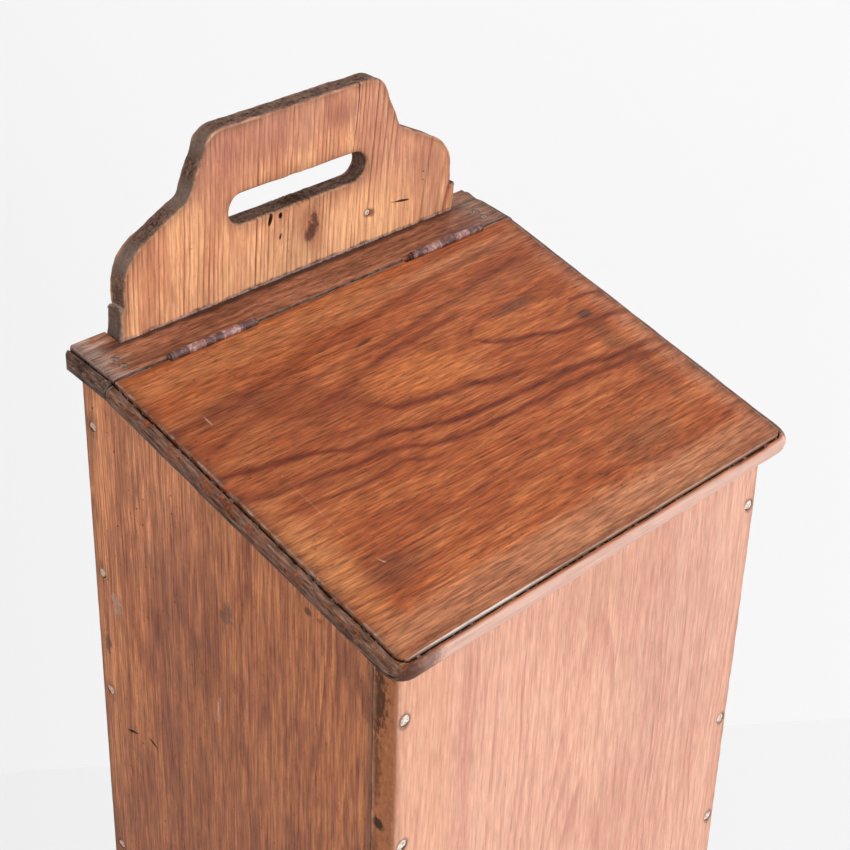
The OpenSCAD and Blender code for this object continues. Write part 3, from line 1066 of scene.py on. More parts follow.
            # Painted glints: pale flecks in the quirk
            colour = sh.mix(colour, QUIRK_GLINT, sunk * tex.lump.step(0.52, 0.62) * 0.8)
        height = tex.fibre * -0.22 - tex.hair * 0.12 - tex.pore * 0.14 + tex.cloud * 0.22 - tex.ring * 0.05
        surface = {
            "Base Color": colour, "Roughness": rough.clip(), "Specular IOR Level": self.shine,
            "Coat Weight": self.wax, "Coat Roughness": 0.32,
        }
        return sh.finish(surface, height + wall * tex.lump * 0.7, 0.6)


@dataclass(frozen=True)
class PaintedMetal:
    """Worn paint over iron, lumpy where old coats have run."""

    name: str
    paint: Colour
    pale: Colour
    dark: Colour
    gloss: float = 0.38

    def material(self) -> bpy.types.Material:
        """The finish's material."""
        sh = Shader(self.name)
        lump, fine = sh.lumps(0.22, 3.0, 0.6), sh.lumps(1.1, 2.0, 0.6)
        colour = sh.mix(self.paint, self.pale, (lump + fine * 0.4).step(0.66, 0.86))
        colour = sh.mix(colour, self.dark, (lump + fine * 0.5).step(0.62, 0.48))
        surface = {
            "Base Color": colour, "Roughness": self.gloss + fine * 0.25, "Metallic": 0.0, "Coat Weight": 0.1,
        }
        return sh.finish(surface, lump * 0.7 + fine * 0.25, 0.8)


@dataclass(frozen=True)
class OldIron:
    """Iron or steel dulled by age, with wax and filler over it."""

    name: str
    bright: Colour
    dull: Colour
    metal: float

    def material(self) -> bpy.types.Material:
        """The finish's material."""
        sh = Shader(self.name)
        lump = sh.lumps(0.55, 3.0, 0.65)
        colour = sh.mix(self.dull, self.bright, lump.step(0.36, 0.58))
        surface = {"Base Color": colour, "Roughness": 0.35 + lump * 0.35, "Metallic": self.metal}
        return sh.finish(surface, lump * 0.8, 0.9)


def put_on(piece: bpy.types.Object, material: bpy.types.Material) -> None:
    """Gives a piece one material all over."""
    piece.data.materials.clear()
    piece.data.materials.append(material)


def install(piece: bpy.types.Object, node: str, body: str, material: bpy.types.Material) -> None:
    """Lets a piece stand for a solid node.

    Args:
        piece: the piece.
        node: the solid that it stands for.
        body: the body that it moves with.
        material: its finish.
    """
    put_on(piece, material)
    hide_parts(node)
    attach(piece, body)
    log.info("%s: %d points, for %s on %s", piece.name, len(piece.data.vertices), node, body)


# Finishes of the boards


def slope_axes(slope: float) -> tuple[Point, Point]:
    """The directions down a slope and square into it."""
    cosine, sine = math.cos(slope), math.sin(slope)
    return (0.0, -cosine, -sine), (0.0, sine, -cosine)


def crest_finish(face: float) -> Pine:
    """Finish of the back board, whose front face lies at the given depth."""
    brown = (0.10, 0.035, 0.032)
    grey = (0.24, 0.18, 0.145)
    rose = (0.46, 0.20, 0.15)
    soot = (0.02, 0.012, 0.01)
    return Pine(
        "crest_pine", UP, ACROSS_X, ACROSS_Y,
        early=(0.80, 0.37, 0.20), late=(0.33, 0.095, 0.055), gold=(0.98, 0.53, 0.27), gold_strength=0.9,
        pith_across=168.0, pith_deep=30.0, taper=-0.12, ring_pitch=4.0, ring_strength=1.0, ring_start=0.45,
        wander=2.0, mottle=0.22, pores=0.2, fibre=0.15, hair_length=16.0, streak=0.2, seed=3.1,
        grime_strength=0.45, wall_strength=0.97, wall_colour=(0.125, 0.070, 0.050), bare=(0.82, 0.46, 0.28),
        bare_strength=0.8, wall_rough=4.4, wax=0.02, face=face,
        spots=(
            Spot(-30, 120, 84, 26, rose, 0.7, 1.3),
            Spot(-76, 92, 20, 26, rose, 0.45, 1.3),
            Spot(122, 50, 18, 20, (0.32, 0.15, 0.12), 0.5, 1.4),
            Spot(132, 14, 16, 16, (0.40, 0.18, 0.13), 0.45, 1.3),
            Spot(84, 95, 28, 44, (0.50, 0.23, 0.17), 0.6, 1.3),
            Spot(42, 112, 12, 9, (0.30, 0.12, 0.10), 0.45, 1.3),
            Spot(-132, 58, 7, 14, (0.52, 0.23, 0.135), 0.5, 1.3, -0.7),
            Spot(4, 22, 92, 24, (1, 0.56, 0.30), 0.7, 1.3),
            Spot(13, 35, 10, 18, (0.44, 0.14, 0.07), 0.7, 1.3, 0.25),
            Spot(15.6, 38.5, 3.2, 6.8, brown, 0.85, 0.9, 0.15, 3.2),
            Spot(13.6, 33, 3, 5.4, brown, 0.85, 0.9, 0.45, 3.2),
            Spot(11, 28.5, 4.6, 4.2, brown, 0.82, 0.8, 0, 2),
            Spot(38, 60, 30, 8, (0.55, 0.19, 0.10), 0.35, 1.4),
            # A pale line down the crack: painted light falling into it
            Spot(55.6, 112, 0.7, 17, (0.62, 0.50, 0.42), 0.45, 0.9, -0.12, 5),
            # Near-black over the worm slits and the short crack: painted shade in them
            Spot(-24.4, 51.6, 1.6, 4.4, soot, 0.95, 0.4, -0.35, 0.8),
            Spot(-15.4, 52, 1.7, 2.2, soot, 0.95, 0.4, 0, 0.8),
            Spot(-15.8, 36.2, 1, 2.4, soot, 0.9, 0.4, -0.2, 0.8),
            Spot(101, 27.4, 6.5, 0.8, soot, 0.8, 0.5, -0.15, 0.8),
            Spot(69.5, 27.5, 3.4, 3, (0.20, 0.05, 0.025), 0.7, 0.8, 0, 0.9),
            Spot(66, 28.5, 3.8, 3.6, soot, 0.5, 0.7, 0, 0.9),
            Spot(0, 4, 156, 2.6, (0.06, 0.022, 0.022), 0.9, 1, 0, 2.4),
            Spot(0, 5.2, 156, 0.7, (0.52, 0.38, 0.37), 0.6, 0.6, 0, 9),
            Spot(-151, 12, 1.6, 14, (0.50, 0.38, 0.35), 0.7, 0.6, 0, 7),
            Spot(-80, 124, 9, 9, grey, 0.45, 1, 0, 5, True),
            Spot(-94, 88, 9, 8, grey, 0.45, 1, 0, 5, True),
            Spot(-140, 58, 10, 8, grey, 0.45, 1, 0, 5, True),
            Spot(-146, 26.4, 12, 0.7, (0.50, 0.38, 0.33), 0.6, 0.7, 0, 2, True),
            Spot(-150, 8, 6, 16, (0.16, 0.12, 0.11), 0.5, 1, 0, 2, True),
        ),
    )


def side_finish(name: str, face: float, heading: Point, seed: int) -> Pine:
    """Finish of a side board, with its outer face's place and the direction into the wood."""
    soot = (0.03, 0.016, 0.012)
    rings = tuple(Spot(y, z, 6.0, 9.0, (0.20, 0.08, 0.045), 0.5, 0.9, 0.0, 1.8) for y, z in SIDE_NAILS)
    return Pine(
        name, UP, ACROSS_Y, heading,
        early=(0.53, 0.185, 0.078), late=(0.195, 0.058, 0.034), gold=(0.68, 0.265, 0.105),
        gold_strength=0.75, pith_across=-220.0, pith_deep=75.0, taper=0.03, ring_pitch=2.4,
        ring_strength=0.7, wander=4.0, mottle=0.42, pores=0.35, fibre=0.27, hair_length=22.0, streak=0.42,
        seed=7.7 + seed, grime_strength=0.5, wall_strength=0.2, bare_strength=0.3, gloss=0.48, wax=0.03,
        face=-abs(face),
        spots=(
            Spot(40, -250, 16, 460, (0.74, 0.30, 0.135), 0.55, 1.4),
            Spot(-20, -60, 64, 80, (0.80, 0.33, 0.16), 0.6, 1.4),
            Spot(-120, -300, 120, 200, (0.32, 0.108, 0.05), 0.5, 1.7),
            Spot(-20, -460, 150, 150, (0.30, 0.10, 0.046), 0.6, 1.7),
            Spot(-35, -150, 26, 60, (0.24, 0.08, 0.05), 0.5, 1.6),
            Spot(-75, -190, 12, 130, (0.16, 0.05, 0.026), 0.35, 1.5, 0.12),
            Spot(-30, -250, 9, 90, (0.17, 0.055, 0.03), 0.3, 1.5, -0.08),
            Spot(-84, -218, 1.6, 12, (0.60, 0.42, 0.30), 0.3, 1, 0.15, 4),
            Spot(-95, -134, 4, 9, (0.10, 0.06, 0.045), 0.6, 0.9, 0.2, 5),
            Spot(25, -192, 4, 9, (0.50, 0.37, 0.29), 0.5, 0.9, 0, 5),
            Spot(38, -232, 3, 7, soot, 0.6, 0.9, 0, 5),
            Spot(-173, -87, 3, 2.6, soot, 0.7, 0.9, 0, 1.4),
            Spot(-183, -88, 2.4, 2, soot, 0.5, 0.9, 0, 1.4),
            Spot(-210, -105, 20, 14, (0.17, 0.06, 0.035), 0.5, 1.3, 0.6),
            # Near-black over the two cracks: painted shade in them
            Spot(14, -297.4, 6.5, 0.9, soot, 0.85, 0.5, -0.3, 0.8),
            Spot(-9.5, -293.4, 5.5, 0.9, soot, 0.85, 0.5, 0.42, 0.8),
            Spot(-160, -420, 14, 150, (0.16, 0.05, 0.028), 0.3, 1.5),
            Spot(-232, -260, 9, 220, (0.13, 0.042, 0.022), 0.4, 1.4),
        ) + rings,
    )


def front_finish(face: float) -> Pine:
    """Finish of the front board, whose front face lies at the given depth; its pale pink tone is painted
    glare.
    """
    rose = (0.52, 0.215, 0.155)
    soot, umber = (0.02, 0.011, 0.008), (0.055, 0.022, 0.011)
    rings = tuple(Spot(x, z, 4.9, 6.4, (0.17, 0.09, 0.06), 0.75, 0.5, 0.1, 1.6) for x, z in FRONT_NAILS)
    return Pine(
        "front_pine", UP, ACROSS_X, ACROSS_Y,
        # Pale pink colours, much paler than the side boards' pine: painted glare on the front
        early=(0.75, 0.40, 0.285), late=(0.50, 0.20, 0.145), gold=(0.83, 0.475, 0.34), gold_strength=0.6,
        pith_across=10.0, pith_deep=150.0, taper=0.05, ring_pitch=4.6, ring_strength=0.55, wander=8.0,
        mottle=0.16, pores=0.14, fibre=0.12, hair_length=18.0, streak=0.28, seed=12.4,
        grime=(0.16, 0.065, 0.04), grime_strength=0.3, wall_colour=(0.37, 0.13, 0.053), wall_strength=0.95,
        wall_rough=1.3, bare=(0.50, 0.20, 0.10), bare_strength=0.8, gloss=0.40, wax=0.05, face=face,
        spots=(
            Spot(-152, -250, 26, 460, (0.76, 0.385, 0.235), 0.4, 0.4),
            Spot(-113, -230, 8, 300, rose, 0.3, 0.8),
            Spot(62, -260, 26, 330, rose, 0.25, 1.2),
            Spot(0, -120, 40, 30, (0.60, 0.31, 0.215), 0.5, 1.4),
            Spot(110, -200, 60, 110, (0.64, 0.36, 0.29), 0.5, 1.5),
            Spot(-236, -86, 11, 9, soot, 0.9, 0.9, 0, 2.6, True, True),
            Spot(-233, -120, 7, 24, umber, 0.85, 0.9, 0.1, 3, True, True),
            Spot(-232, -168, 5, 26, umber, 0.6, 1.1, 0, 2.6, True, True),
            Spot(-236, -212, 4.6, 4.6, soot, 0.9, 0.6, 0, 1.2, True, True),
            Spot(-231, -250, 5, 30, umber, 0.6, 1.1, 0, 1.4, True, True),
            Spot(-240, -320, 8, 24, umber, 0.5, 1.2, 0, 1.4, True, True),
        ) + rings,
    )


def lid_finish() -> Pine:
    """Finish of the lid."""
    down, into = slope_axes(SLOPE)
    dark = (0.07, 0.018, 0.009)
    soot = (0.10, 0.042, 0.026)
    # bright is the painted highlight along the front arris, and tan the painted sheen along the front of the
    # lid
    tan, pale, bright = (0.56, 0.27, 0.145), (0.72, 0.48, 0.34), (0.88, 0.78, 0.72)
    return Pine(
        "lid_pine", ACROSS_X, down, into,
        early=(0.37, 0.091, 0.026), late=(0.15, 0.026, 0.009), gold=(0.50, 0.165, 0.054), gold_strength=0.6,
        pith_across=98.0, pith_deep=64.0, taper=0.12, ring_pitch=4.6, ring_strength=0.28, wander=9.0,
        mottle=0.24, pores=0.5, fibre=0.34, hair_length=17.0, streak=0.28, seed=5.3, grime_strength=0.5,
        bare=(0.50, 0.36, 0.29), bare_strength=0.75, wall_colour=(0.085, 0.042, 0.03), wall_strength=0.85,
        wall_rough=2.0, gloss=0.36, wax=0.08, end_colour=(0.125, 0.066, 0.046),
        # On the next line, the painted shade under the nose at the ends and the painted glare on the front
        # belly
        under_nose_shade=(0.10, 0.058, 0.043), worn=(0.68, 0.435, 0.36), joint=True, moulded=True,
        spots=(
            Spot(90, -120, 60, 56, (0.24, 0.062, 0.022), 0.4, 1.6),
            Spot(17, -60, 13, 130, (0.45, 0.175, 0.072), 0.55, 1.4),
            Spot(20, 125, 7, 70, (0.48, 0.20, 0.09), 0.55, 1.4),
            Spot(95, 2, 19, 42, (0.55, 0.17, 0.046), 0.55, 1, -0.1),
            Spot(88, 96, 9, 34, (0.52, 0.165, 0.05), 0.45, 1.2),
            Spot(190, -168, 48, 14, (0.54, 0.22, 0.08), 0.6, 1.4),
            Spot(90, -64, 8, 28, (0.19, 0.045, 0.018), 0.6, 1.2),
            Spot(48, 130, 13, 70, (0.20, 0.05, 0.022), 0.5, 1.5),
            Spot(110, 150, 4, 6, soot, 0.85, 0.8, 0, 1.4),
            Spot(77, 108, 4, 22, soot, 0.6, 1, 0.06, 1.6),
            Spot(53, -14, 1.3, 9, dark, 0.8, 0.8, 0.1, 1),
            Spot(150, 148, 52, 9, soot, 0.42, 1.4, 0, 1.4),
            Spot(221, 87, 16, 30, soot, 0.42, 1.4, 0, 1.4),
            Spot(214, -133, 12, 22, soot, 0.5, 1.4, 0, 1.4),
            Spot(58, -130, 9, 40, soot, 0.4, 1.4, 0, 1.4),
            # A lighter tan strip along the front: painted sheen of the wax
            Spot(256, 0, 13, 260, tan, 0.55, 1.4),
            Spot(150, 175, 130, 12, (0.46, 0.20, 0.115), 0.5, 1.2),
            Spot(156, -143.5, 26, 0.5, pale, 0.1, 0.9, 0, 12),
            Spot(59, -152, 4, 0.6, pale, 0.4, 0.7, 0, 0.6),
            Spot(206, -138, 3, 0.6, pale, 0.4, 0.7, 0.5, 0.6),
        ),
        # A painted highlight along the front arris, fading to the right, then two dark patches at the front
        # left corner
        late_spots=(
            Spot(269.5, -112, 0.55, 54, bright, 0.75, 1, 0, 1),
            Spot(269.5, 64, 0.45, 112, (0.66, 0.44, 0.35), 0.4, 1, 0, 1.2),
            Spot(277.5, -179, 6, 9, (0.07, 0.026, 0.017), 0.9, 0.9, 0, 1.6),
            Spot(276, -166, 4.5, 12, (0.12, 0.048, 0.034), 0.75, 1.1, 0.1, 2.2),
        ),
        bands=(
            Band(
                ((-180, 58), (-150, 56), (-100, 50), (-60, 44), (-20, 40), (20, 35), (60, 28), (180, 20)),
                9.0, 0.55,
            ),
            Band(
                ((-180, 82), (-140, 77), (-100, 69), (-60, 63), (0, 60), (60, 53), (110, 45), (180, 38)),
                8.0, 0.5,
            ),
            Band(((-82, 84), (-50, 80), (-38, 76), (-20, 73), (5, 69), (40, 66), (70, 63)), 8.0, 0.8),
            Band(
                ((-55, 100), (-45, 106), (-38, 112), (-20, 116), (0, 119), (20, 121), (40, 127), (70, 131)),
                9.0, 0.9,
            ),
            Band(((58, 88), (60, 82), (68, 78), (85, 75), (106, 74)), 4.5, 0.5),
            Band(
                ((57, 91), (66, 98), (76, 102), (90, 106), (105, 110), (118, 115), (140, 118), (180, 121)),
                6.5, 0.85,
            ),
            Band(
                (
                    (-178, 102), (-150, 109), (-125, 113), (-105, 119), (-88, 125), (-60, 127), (-42, 133),
                    (-20, 139), (0, 143), (40, 145), (100, 147), (140, 154), (180, 155),
                ),
                7.0, 0.95,
            ),
            Band(
                (
                    (-178, 127), (-150, 131), (-120, 134), (-95, 138), (-70, 140), (-55, 144), (-40, 150),
                    (-20, 154), (10, 156), (60, 157), (100, 158), (140, 162), (180, 166),
                ),
                6.5, 0.85,
            ),
            Band(
                ((-165, 148), (-120, 151), (-100, 153), (-85, 153), (-72, 151), (-60, 155), (-48, 160)),
                5.0, 0.7,
            ),
            Band(((150, 94), (165, 95), (182, 99)), 4.0, 0.8),
            Band(((-150, 199), (-60, 196), (20, 191), (80, 188), (150, 180)), 6.0, 0.35),
            Band(((0, 226), (40, 229), (70, 236), (110, 241), (170, 236)), 4.0, 0.45),
        ),
    )


def ledge_finish() -> Pine:
    """Finish of the ledge."""
    down, into = slope_axes(LEDGE_SLOPE)
    return Pine(
        "ledge_pine", ACROSS_X, down, into,
        early=(0.30, 0.112, 0.06), late=(0.10, 0.032, 0.019), gold=(0.42, 0.175, 0.095), gold_strength=0.7,
        pith_across=-140.0, pith_deep=60.0, taper=0.02, ring_pitch=4.0, ring_strength=0.45, wander=6.0,
        mottle=0.36, pores=0.55, fibre=0.34, streak=0.5, seed=15.2, grime_strength=0.4,
        bare=(0.40, 0.31, 0.27), bare_strength=0.7, wall_colour=(0.085, 0.045, 0.033), wall_strength=0.85,
        wall_rough=2.0, gloss=0.38, wax=0.08, joint=True, moulded=True,
        spots=(
            Spot(-30, 0, 4, 200, (0.03, 0.018, 0.014), 0.85, 1.2),
            Spot(-14, -176, 40, 12, (0.44, 0.31, 0.26), 0.65, 1.3, 0, 4),
            Spot(-14, 170, 30, 12, (0.30, 0.19, 0.14), 0.5, 1.3, 0, 1.3),
        ),
    )


# Sub-assemblies


@dataclass
class Studio:
    """Pale floor and wall, soft lamps and the camera."""

    camera_place: Point = (-770.71, -845.93, 599.32)
    right: Point = (0.708158, -0.705561, 0.026393)
    down: Point = (-0.326572, -0.360457, -0.87374)
    forward: Point = (0.62599, 0.610127, -0.485677)
    lens: float = 79.55
    rise: float = -0.1
    wall_foot: tuple[tuple[float, float], tuple[float, float]] = ((35.7, 412.1), (678.0, -83.9))
    room: float = 9.0
    floor_tone: float = 0.91
    wall_tone: float = 0.94
    left_painted_shade: float = 0.075

    def place_camera(self) -> None:
        """Sets the camera from its three directions, with its lens moved up to frame the chest."""
        camera = bpy.data.cameras.new("camera")
        camera.lens = self.lens
        camera.sensor_width = 36.0
        camera.shift_y = self.rise
        camera.clip_start = 0.05
        holder = add_object("camera", camera)
        turn = Matrix((self.right, [-v for v in self.down], [-v for v in self.forward])).transposed()
        spot = (np.array(self.camera_place) + DATUM) * MM
        holder.matrix_world = Matrix.Translation(spot) @ turn.to_4x4()
        bpy.context.scene.camera = holder

    def backdrop(
        self, name: str, corners: Array, tone: float, aside: tuple[float, float],
    ) -> bpy.types.Object:
        """A plain surface that the camera sees at one pale tone. It takes a shadow, and is clear from behind.

        Args:
            name: its name.
            corners: its four corners in metres.
            tone: the tone that the camera sees.
            aside: the level direction along the wall, to the right. The tone falls off to the left, a painted
                shade.

        Returns:
            The surface.
        """
        mesh = bpy.data.meshes.new(name)
        mesh.from_pydata(corners.tolist(), [], [[0, 1, 2, 3]])
        sheet = add_object(name, mesh)
        sh = Shader(name)
        seen = sh.node("ShaderNodeLightPath", {}, {}, "Is Camera Ray")
        glossy = sh.node("ShaderNodeLightPath", {}, {}, "Is Glossy Ray")
        matt = sh.node("ShaderNodeBsdfDiffuse", {}, {"Color": (tone,) * 3})
        side = sh.dot(sh.place(), (*aside, 0.0))
        # Painted shade: the backdrop is made a little darker to the left
        strength = 1.0 - side.step(100.0, -700.0) * self.left_painted_shade
        light = sh.node("ShaderNodeEmission", {}, {"Color": (tone, tone, tone * 1.012), "Strength": strength})
        share = ((seen + glossy) * 0.9).clip()
        solid = sh.node("ShaderNodeMixShader", {}, {0: share, 1: matt, 2: light})
        behind = sh.node("ShaderNodeNewGeometry", {}, {}, "Backfacing") * seen
        clear = sh.node("ShaderNodeBsdfTransparent", {}, {})
        sh.node_output(sh.node("ShaderNodeMixShader", {}, {0: behind, 1: solid, 2: clear}))
        put_on(sheet, sh.material)
        return sheet

    def lamp(self, name: str, spot: Point, target: Point, size: float, power: float, tint: Colour) -> None:
        """A square soft lamp.

        Args:
            name: its name.
            spot: its place in metres.
            target: the point that it faces.
            size: its side in metres.
            power: its power in watts.
            tint: its colour.
        """
        light = bpy.data.lights.new(name, "AREA")
        light.shape = "SQUARE"
        light.size = size
        light.energy = power
        light.color = tint
        holder = add_object(name, light)
        aim = (Vector(target) - Vector(spot)).to_track_quat("-Z", "Y")
        holder.matrix_world = Matrix.Translation(spot) @ aim.to_matrix().to_4x4()

    def light_world(self, strength: float) -> None:
        """An even pale sky, white where the camera sees it."""
        world = bpy.data.worlds.new("studio")
        world.use_nodes = True
        bpy.context.scene.world = world
        tree = world.node_tree
        sky = tree.nodes["Background"]
        path = tree.nodes.new("ShaderNodeLightPath")
        ranges = tree.nodes.new("ShaderNodeMapRange")
        ranges.inputs["To Min"].default_value = strength
        ranges.inputs["To Max"].default_value = self.wall_tone
        tree.links.new(path.outputs["Is Camera Ray"], ranges.inputs["Value"])
        tree.links.new(ranges.outputs["Result"], sky.inputs["Strength"])
        sky.inputs["Color"].default_value = (1.0, 1.0, 1.0, 1.0)

    def build(self) -> None:
        """Builds the whole studio."""
        self.place_camera()
        feet = (np.array(self.wall_foot) + [0.0, HINGE_Y]) * MM
        level = (feet[1] - feet[0]) / np.linalg.norm(feet[1] - feet[0])
        foot = np.array([*feet.mean(0), 0.0])
        wide = np.array([*level, 0.0]) * self.room
        near = foot + np.array([level[1], -level[0], 0.0]) * self.room
        up = np.array([0.0, 0.0, self.room])
        aside = (float(level[0]), float(level[1]))
        ground = np.array([near - wide, near + wide, foot + wide, foot - wide])
        upright = np.array([foot - wide, foot + wide, foot + wide + up, foot - wide + up])
        self.backdrop("floor", ground, self.floor_tone, aside)
        self.backdrop("wall", upright, self.wall_tone, aside)
        middle = (0.0, 0.0, 0.6)
        self.lamp("window", (1.0, -2.6, 1.7), middle, 1.8, 50.0, (1.0, 0.985, 0.97))
        self.lamp("overhead", (-0.9, -0.1, 2.8), middle, 1.6, 13.0, (1.0, 1.0, 1.0))
        self.lamp("left_window", (-2.6, -0.7, 1.3), middle, 1.8, 12.0, (1.0, 1.0, 1.0))
        self.light_world(0.46)


@dataclass
class Carcase:
    """The five upright boards and the bottom board."""

    width: float = 346.0
    crest_top: float = 129.0
    step_top: float = 26.0
    slot_half: float = 51.2
    slot_r: float = 10.8
    slot_mid: float = 67.4
    crest_shift: float = 2.5

    def slot_loop(self, loop: Loop) -> Loop:
        """The hand slot's outline, with one point for each point of the board's outline.

        Each point lies where the ray from the slot's middle to the board's outline meets the slot: on a flat
        side at slot_r / |sin|, or on a round end by the circle's equation.

        Args:
            loop: the board's outline.

        Returns:
            The slot's outline, with normals that point into the slot.
        """
        rays = loop.points - [0.0, self.slot_mid]
        rays = rays / np.linalg.norm(rays, axis=1)[:, None]
        flat = self.slot_r / np.maximum(np.abs(rays[:, 1]), 1e-9)
        on_flat = np.abs(rays[:, 0]) * flat <= self.slot_half
        centre = np.sign(rays[:, 0]) * self.slot_half
        reach = rays[:, 0] * centre
        end = reach + np.sqrt(np.maximum(reach**2 - self.slot_half**2 + self.slot_r**2, 0))
        length = np.where(on_flat, flat, end)
        points = rays * length[:, None]
        flat_normal = np.column_stack([np.zeros(len(rays)), -np.sign(rays[:, 1])])
        end_normal = (np.column_stack([centre, np.zeros(len(rays))]) - points) / self.slot_r
        normals = np.where(on_flat[:, None], flat_normal, end_normal)
        return Loop(points + [0.0, self.slot_mid], normals, loop.travel * 0.2)

    def crest_corners(self, bottom: float) -> list[Corner]:
        """Corners of the back board's outline, anticlockwise from the lower left."""
        foot = self.width / 2 - 20.2
        right = [
            Corner(foot, bottom, 1.5),
            Corner(foot, self.step_top, 0.7),
            Corner(foot - 4.8, self.step_top - 0.4, 0.3),
            Corner(foot - 4.8, 59, 33),
            Corner(95.5, 86.4, 4),
            Corner(76.5, self.crest_top, 16),
        ]
        left = [Corner(-c.a, c.b, c.radius) for c in reversed(right)]
        left[1] = Corner(-95.5, 86.4, 8)
        left[2] = Corner(-foot + 3.2, 59, 33)
        left[3] = Corner(-foot + 3.2, self.step_top - 0.2, 0.3)
        return right + left

    def back_board(self) -> None:
        """The back board, with its crest, slot, crack, worm slots and saw step."""
        low, high = node_box("back_board")
        loop = round_loop(self.crest_corners(low[2]), 2.2)

        def aside_at(height: Array) -> Array:
            """How far the board stands to the right at a height."""
            return self.crest_shift * np.clip((height - 2.0) / 12.0, 0, 1)

        def place(a: Array, b: Array, c: Array) -> Array:
            """Points of the chest, from the board's own coordinates."""
            return np.stack([a + aside_at(b), low[1] + c, b], -1)

        def unplace(spots: Array) -> Array:
            """The board's own coordinates, from points of the chest."""
            return np.column_stack([spots[:, 0] - aside_at(spots[:, 2]), spots[:, 2], spots[:, 1] - low[1]])

        slot = self.slot_loop(loop)
        x, z = loop.points.T
        aside = np.clip((np.abs(x) - 125) / 15, 0, 1) * np.clip((z + 300) / 200, 0, 1)
        fall = (6 + 6 * np.clip((np.abs(x) - 148) / 4.8, 0, 1)) * np.clip((60 - z) / 34, 0, 1)
        fall = fall * np.clip((z + 100) / 126, 0, 1)
        inner = loop.points - np.column_stack([6 * np.sign(x), fall])
        straight = slot.points + 0.93 * (loop.points - slot.points)
        knee = straight + aside[:, None] * (inner - straight)
        thickness = high[1] - low[1]
        slab = Slab(
            "crest_board", loop, thickness, place, Wear.WORN, 11, slot, knee, saw_marks=0.35, hollow=0.12,
        )
        piece = slab.build()
        face = low[1]
        # Each crack is a row of (x, z, width, depth)
        cracks = [
            [
                (57.6, 129.6, 1.9, 3.2), (57.2, 120, 0.8, 2.0), (56.0, 109, 0.6, 1.6),
                (54.9, 99, 0.7, 1.6), (53.0, 89, 0.5, 1.2), (51.4, 78, 0.6, 1.6),
            ],
            [(88, 29.6, 0.3, 0.6), (94, 28.4, 0.9, 1.8), (100, 27.8, 1.3, 2.2), (107, 26.2, 0.6, 1.0)],
        ]
        slits = ((-24.6, 55.8, 47.4, 1.6), (-15.2, 54.0, 50.0, 1.6), (-15.6, 38.4, 34.2, 0.9))
        for x, top, bottom, half in slits:
            middle = (x + 0.1, (top + bottom) / 2, half * 1.1, 3.0)
            cracks.append([(x + 1.0, top, half, 3.0), middle, (x - 0.6, bottom, 0.3, 1.0)])
        for stops in cracks:
            x, z, width, depth = np.array(stops).T
            carve(piece, crack(np.column_stack([x, np.full(len(x), face), z]), width, depth, ACROSS_Y))
        worm = np.array([[121.5, face, 44.5], [121.2, face, 38.0], [30.0, face, 98.0], [-92.0, face, 52.0]])
        carve(piece, drill(worm, np.array([0.7, 0.6, 0.4, 0.5]), np.array([3.0, 3.0, 2.0, 2.0]), ACROSS_Y))
        sink_nails(piece, np.array([[CREST_NAIL[0], face, CREST_NAIL[1]]]), 3.0, ACROSS_Y)
        tidy_mesh(piece)
        slab.mark(piece, unplace)
        install(piece, "back_board", "chest", crest_finish(face).material())

    def side_board(self, node: str, name: str, outer: float, seed: int) -> None:
        """One side board, with worm holes in its outer face.

        Args:
            node: the solid that it stands for.
            name: its name.
            outer: -1 for the left board and 1 for the right one.
            seed: picks its wear.
        """
        low, high = node_box(node)
        face = low[0] if outer < 0 else high[0]
        top_rear = LEDGE_RISE + high[1] * math.tan(LEDGE_SLOPE) - BOARD_T / math.cos(LEDGE_SLOPE)
        top_kink = -BOARD_T / math.cos(SLOPE) - 0.2
        top_front = low[1] * math.tan(SLOPE) + top_kink
        corners = [
            Corner(low[1], low[2], 0.6),
            Corner(high[1], low[2], 1.5),
            Corner(high[1], top_rear, 1),
            Corner(0, top_kink, 1),
            Corner(low[1], top_front, 0.6),
        ]
        loop = round_loop(corners, 5.0)

        def place(a: Array, b: Array, c: Array) -> Array:
            """Points of the chest, from the board's own coordinates."""
            return np.stack([face - outer * c, a, b], -1)

        def unplace(spots: Array) -> Array:
            """The board's own coordinates, from points of the chest."""
            return np.column_stack([spots[:, 1], spots[:, 2], (face - spots[:, 0]) * outer])

        slab = Slab(name, loop, high[0] - low[0], place, Wear.CRISP, seed, saw_marks=0.05, hollow=0.05)
        piece = slab.build()
        rng = np.random.default_rng(seed)
        holes = np.array([(face, y, z) for y, z in SIDE_WORM], float)
        if outer > 0:
            holes[:, 1] = rng.uniform(low[1] + 20, high[1] - 5, len(holes))
            holes[:, 2] = rng.uniform(-600, -60, len(holes))
        radii = rng.uniform(0.45, 0.95, len(holes))
        heading = (-outer, 0.0, 0.0)
        carve(piece, drill(holes, radii, rng.uniform(2.5, 5.0, len(holes)), heading))
        if outer < 0:
            for start, stop in (((20.5, -299.5), (7.5, -295.5)), ((-4.5, -291.0), (-14.5, -295.5))):
                middle = ((start[0] + stop[0]) / 2, (start[1] + stop[1]) / 2 + 0.8)
                path = np.array([[face, *spot] for spot in (start, middle, stop)])
                carve(piece, crack(path, np.array([0.5, 1.2, 0.4]), np.array([1.0, 2.0, 0.8]), heading))
        sink_nails(piece, np.array([(face, y, z) for y, z in SIDE_NAILS]), 4.1, heading)
        tidy_mesh(piece)
        slab.mark(piece, unplace)
        finish = side_finish(f"{name}_pine", face, heading, seed)
        install(piece, node, "chest", finish.material())

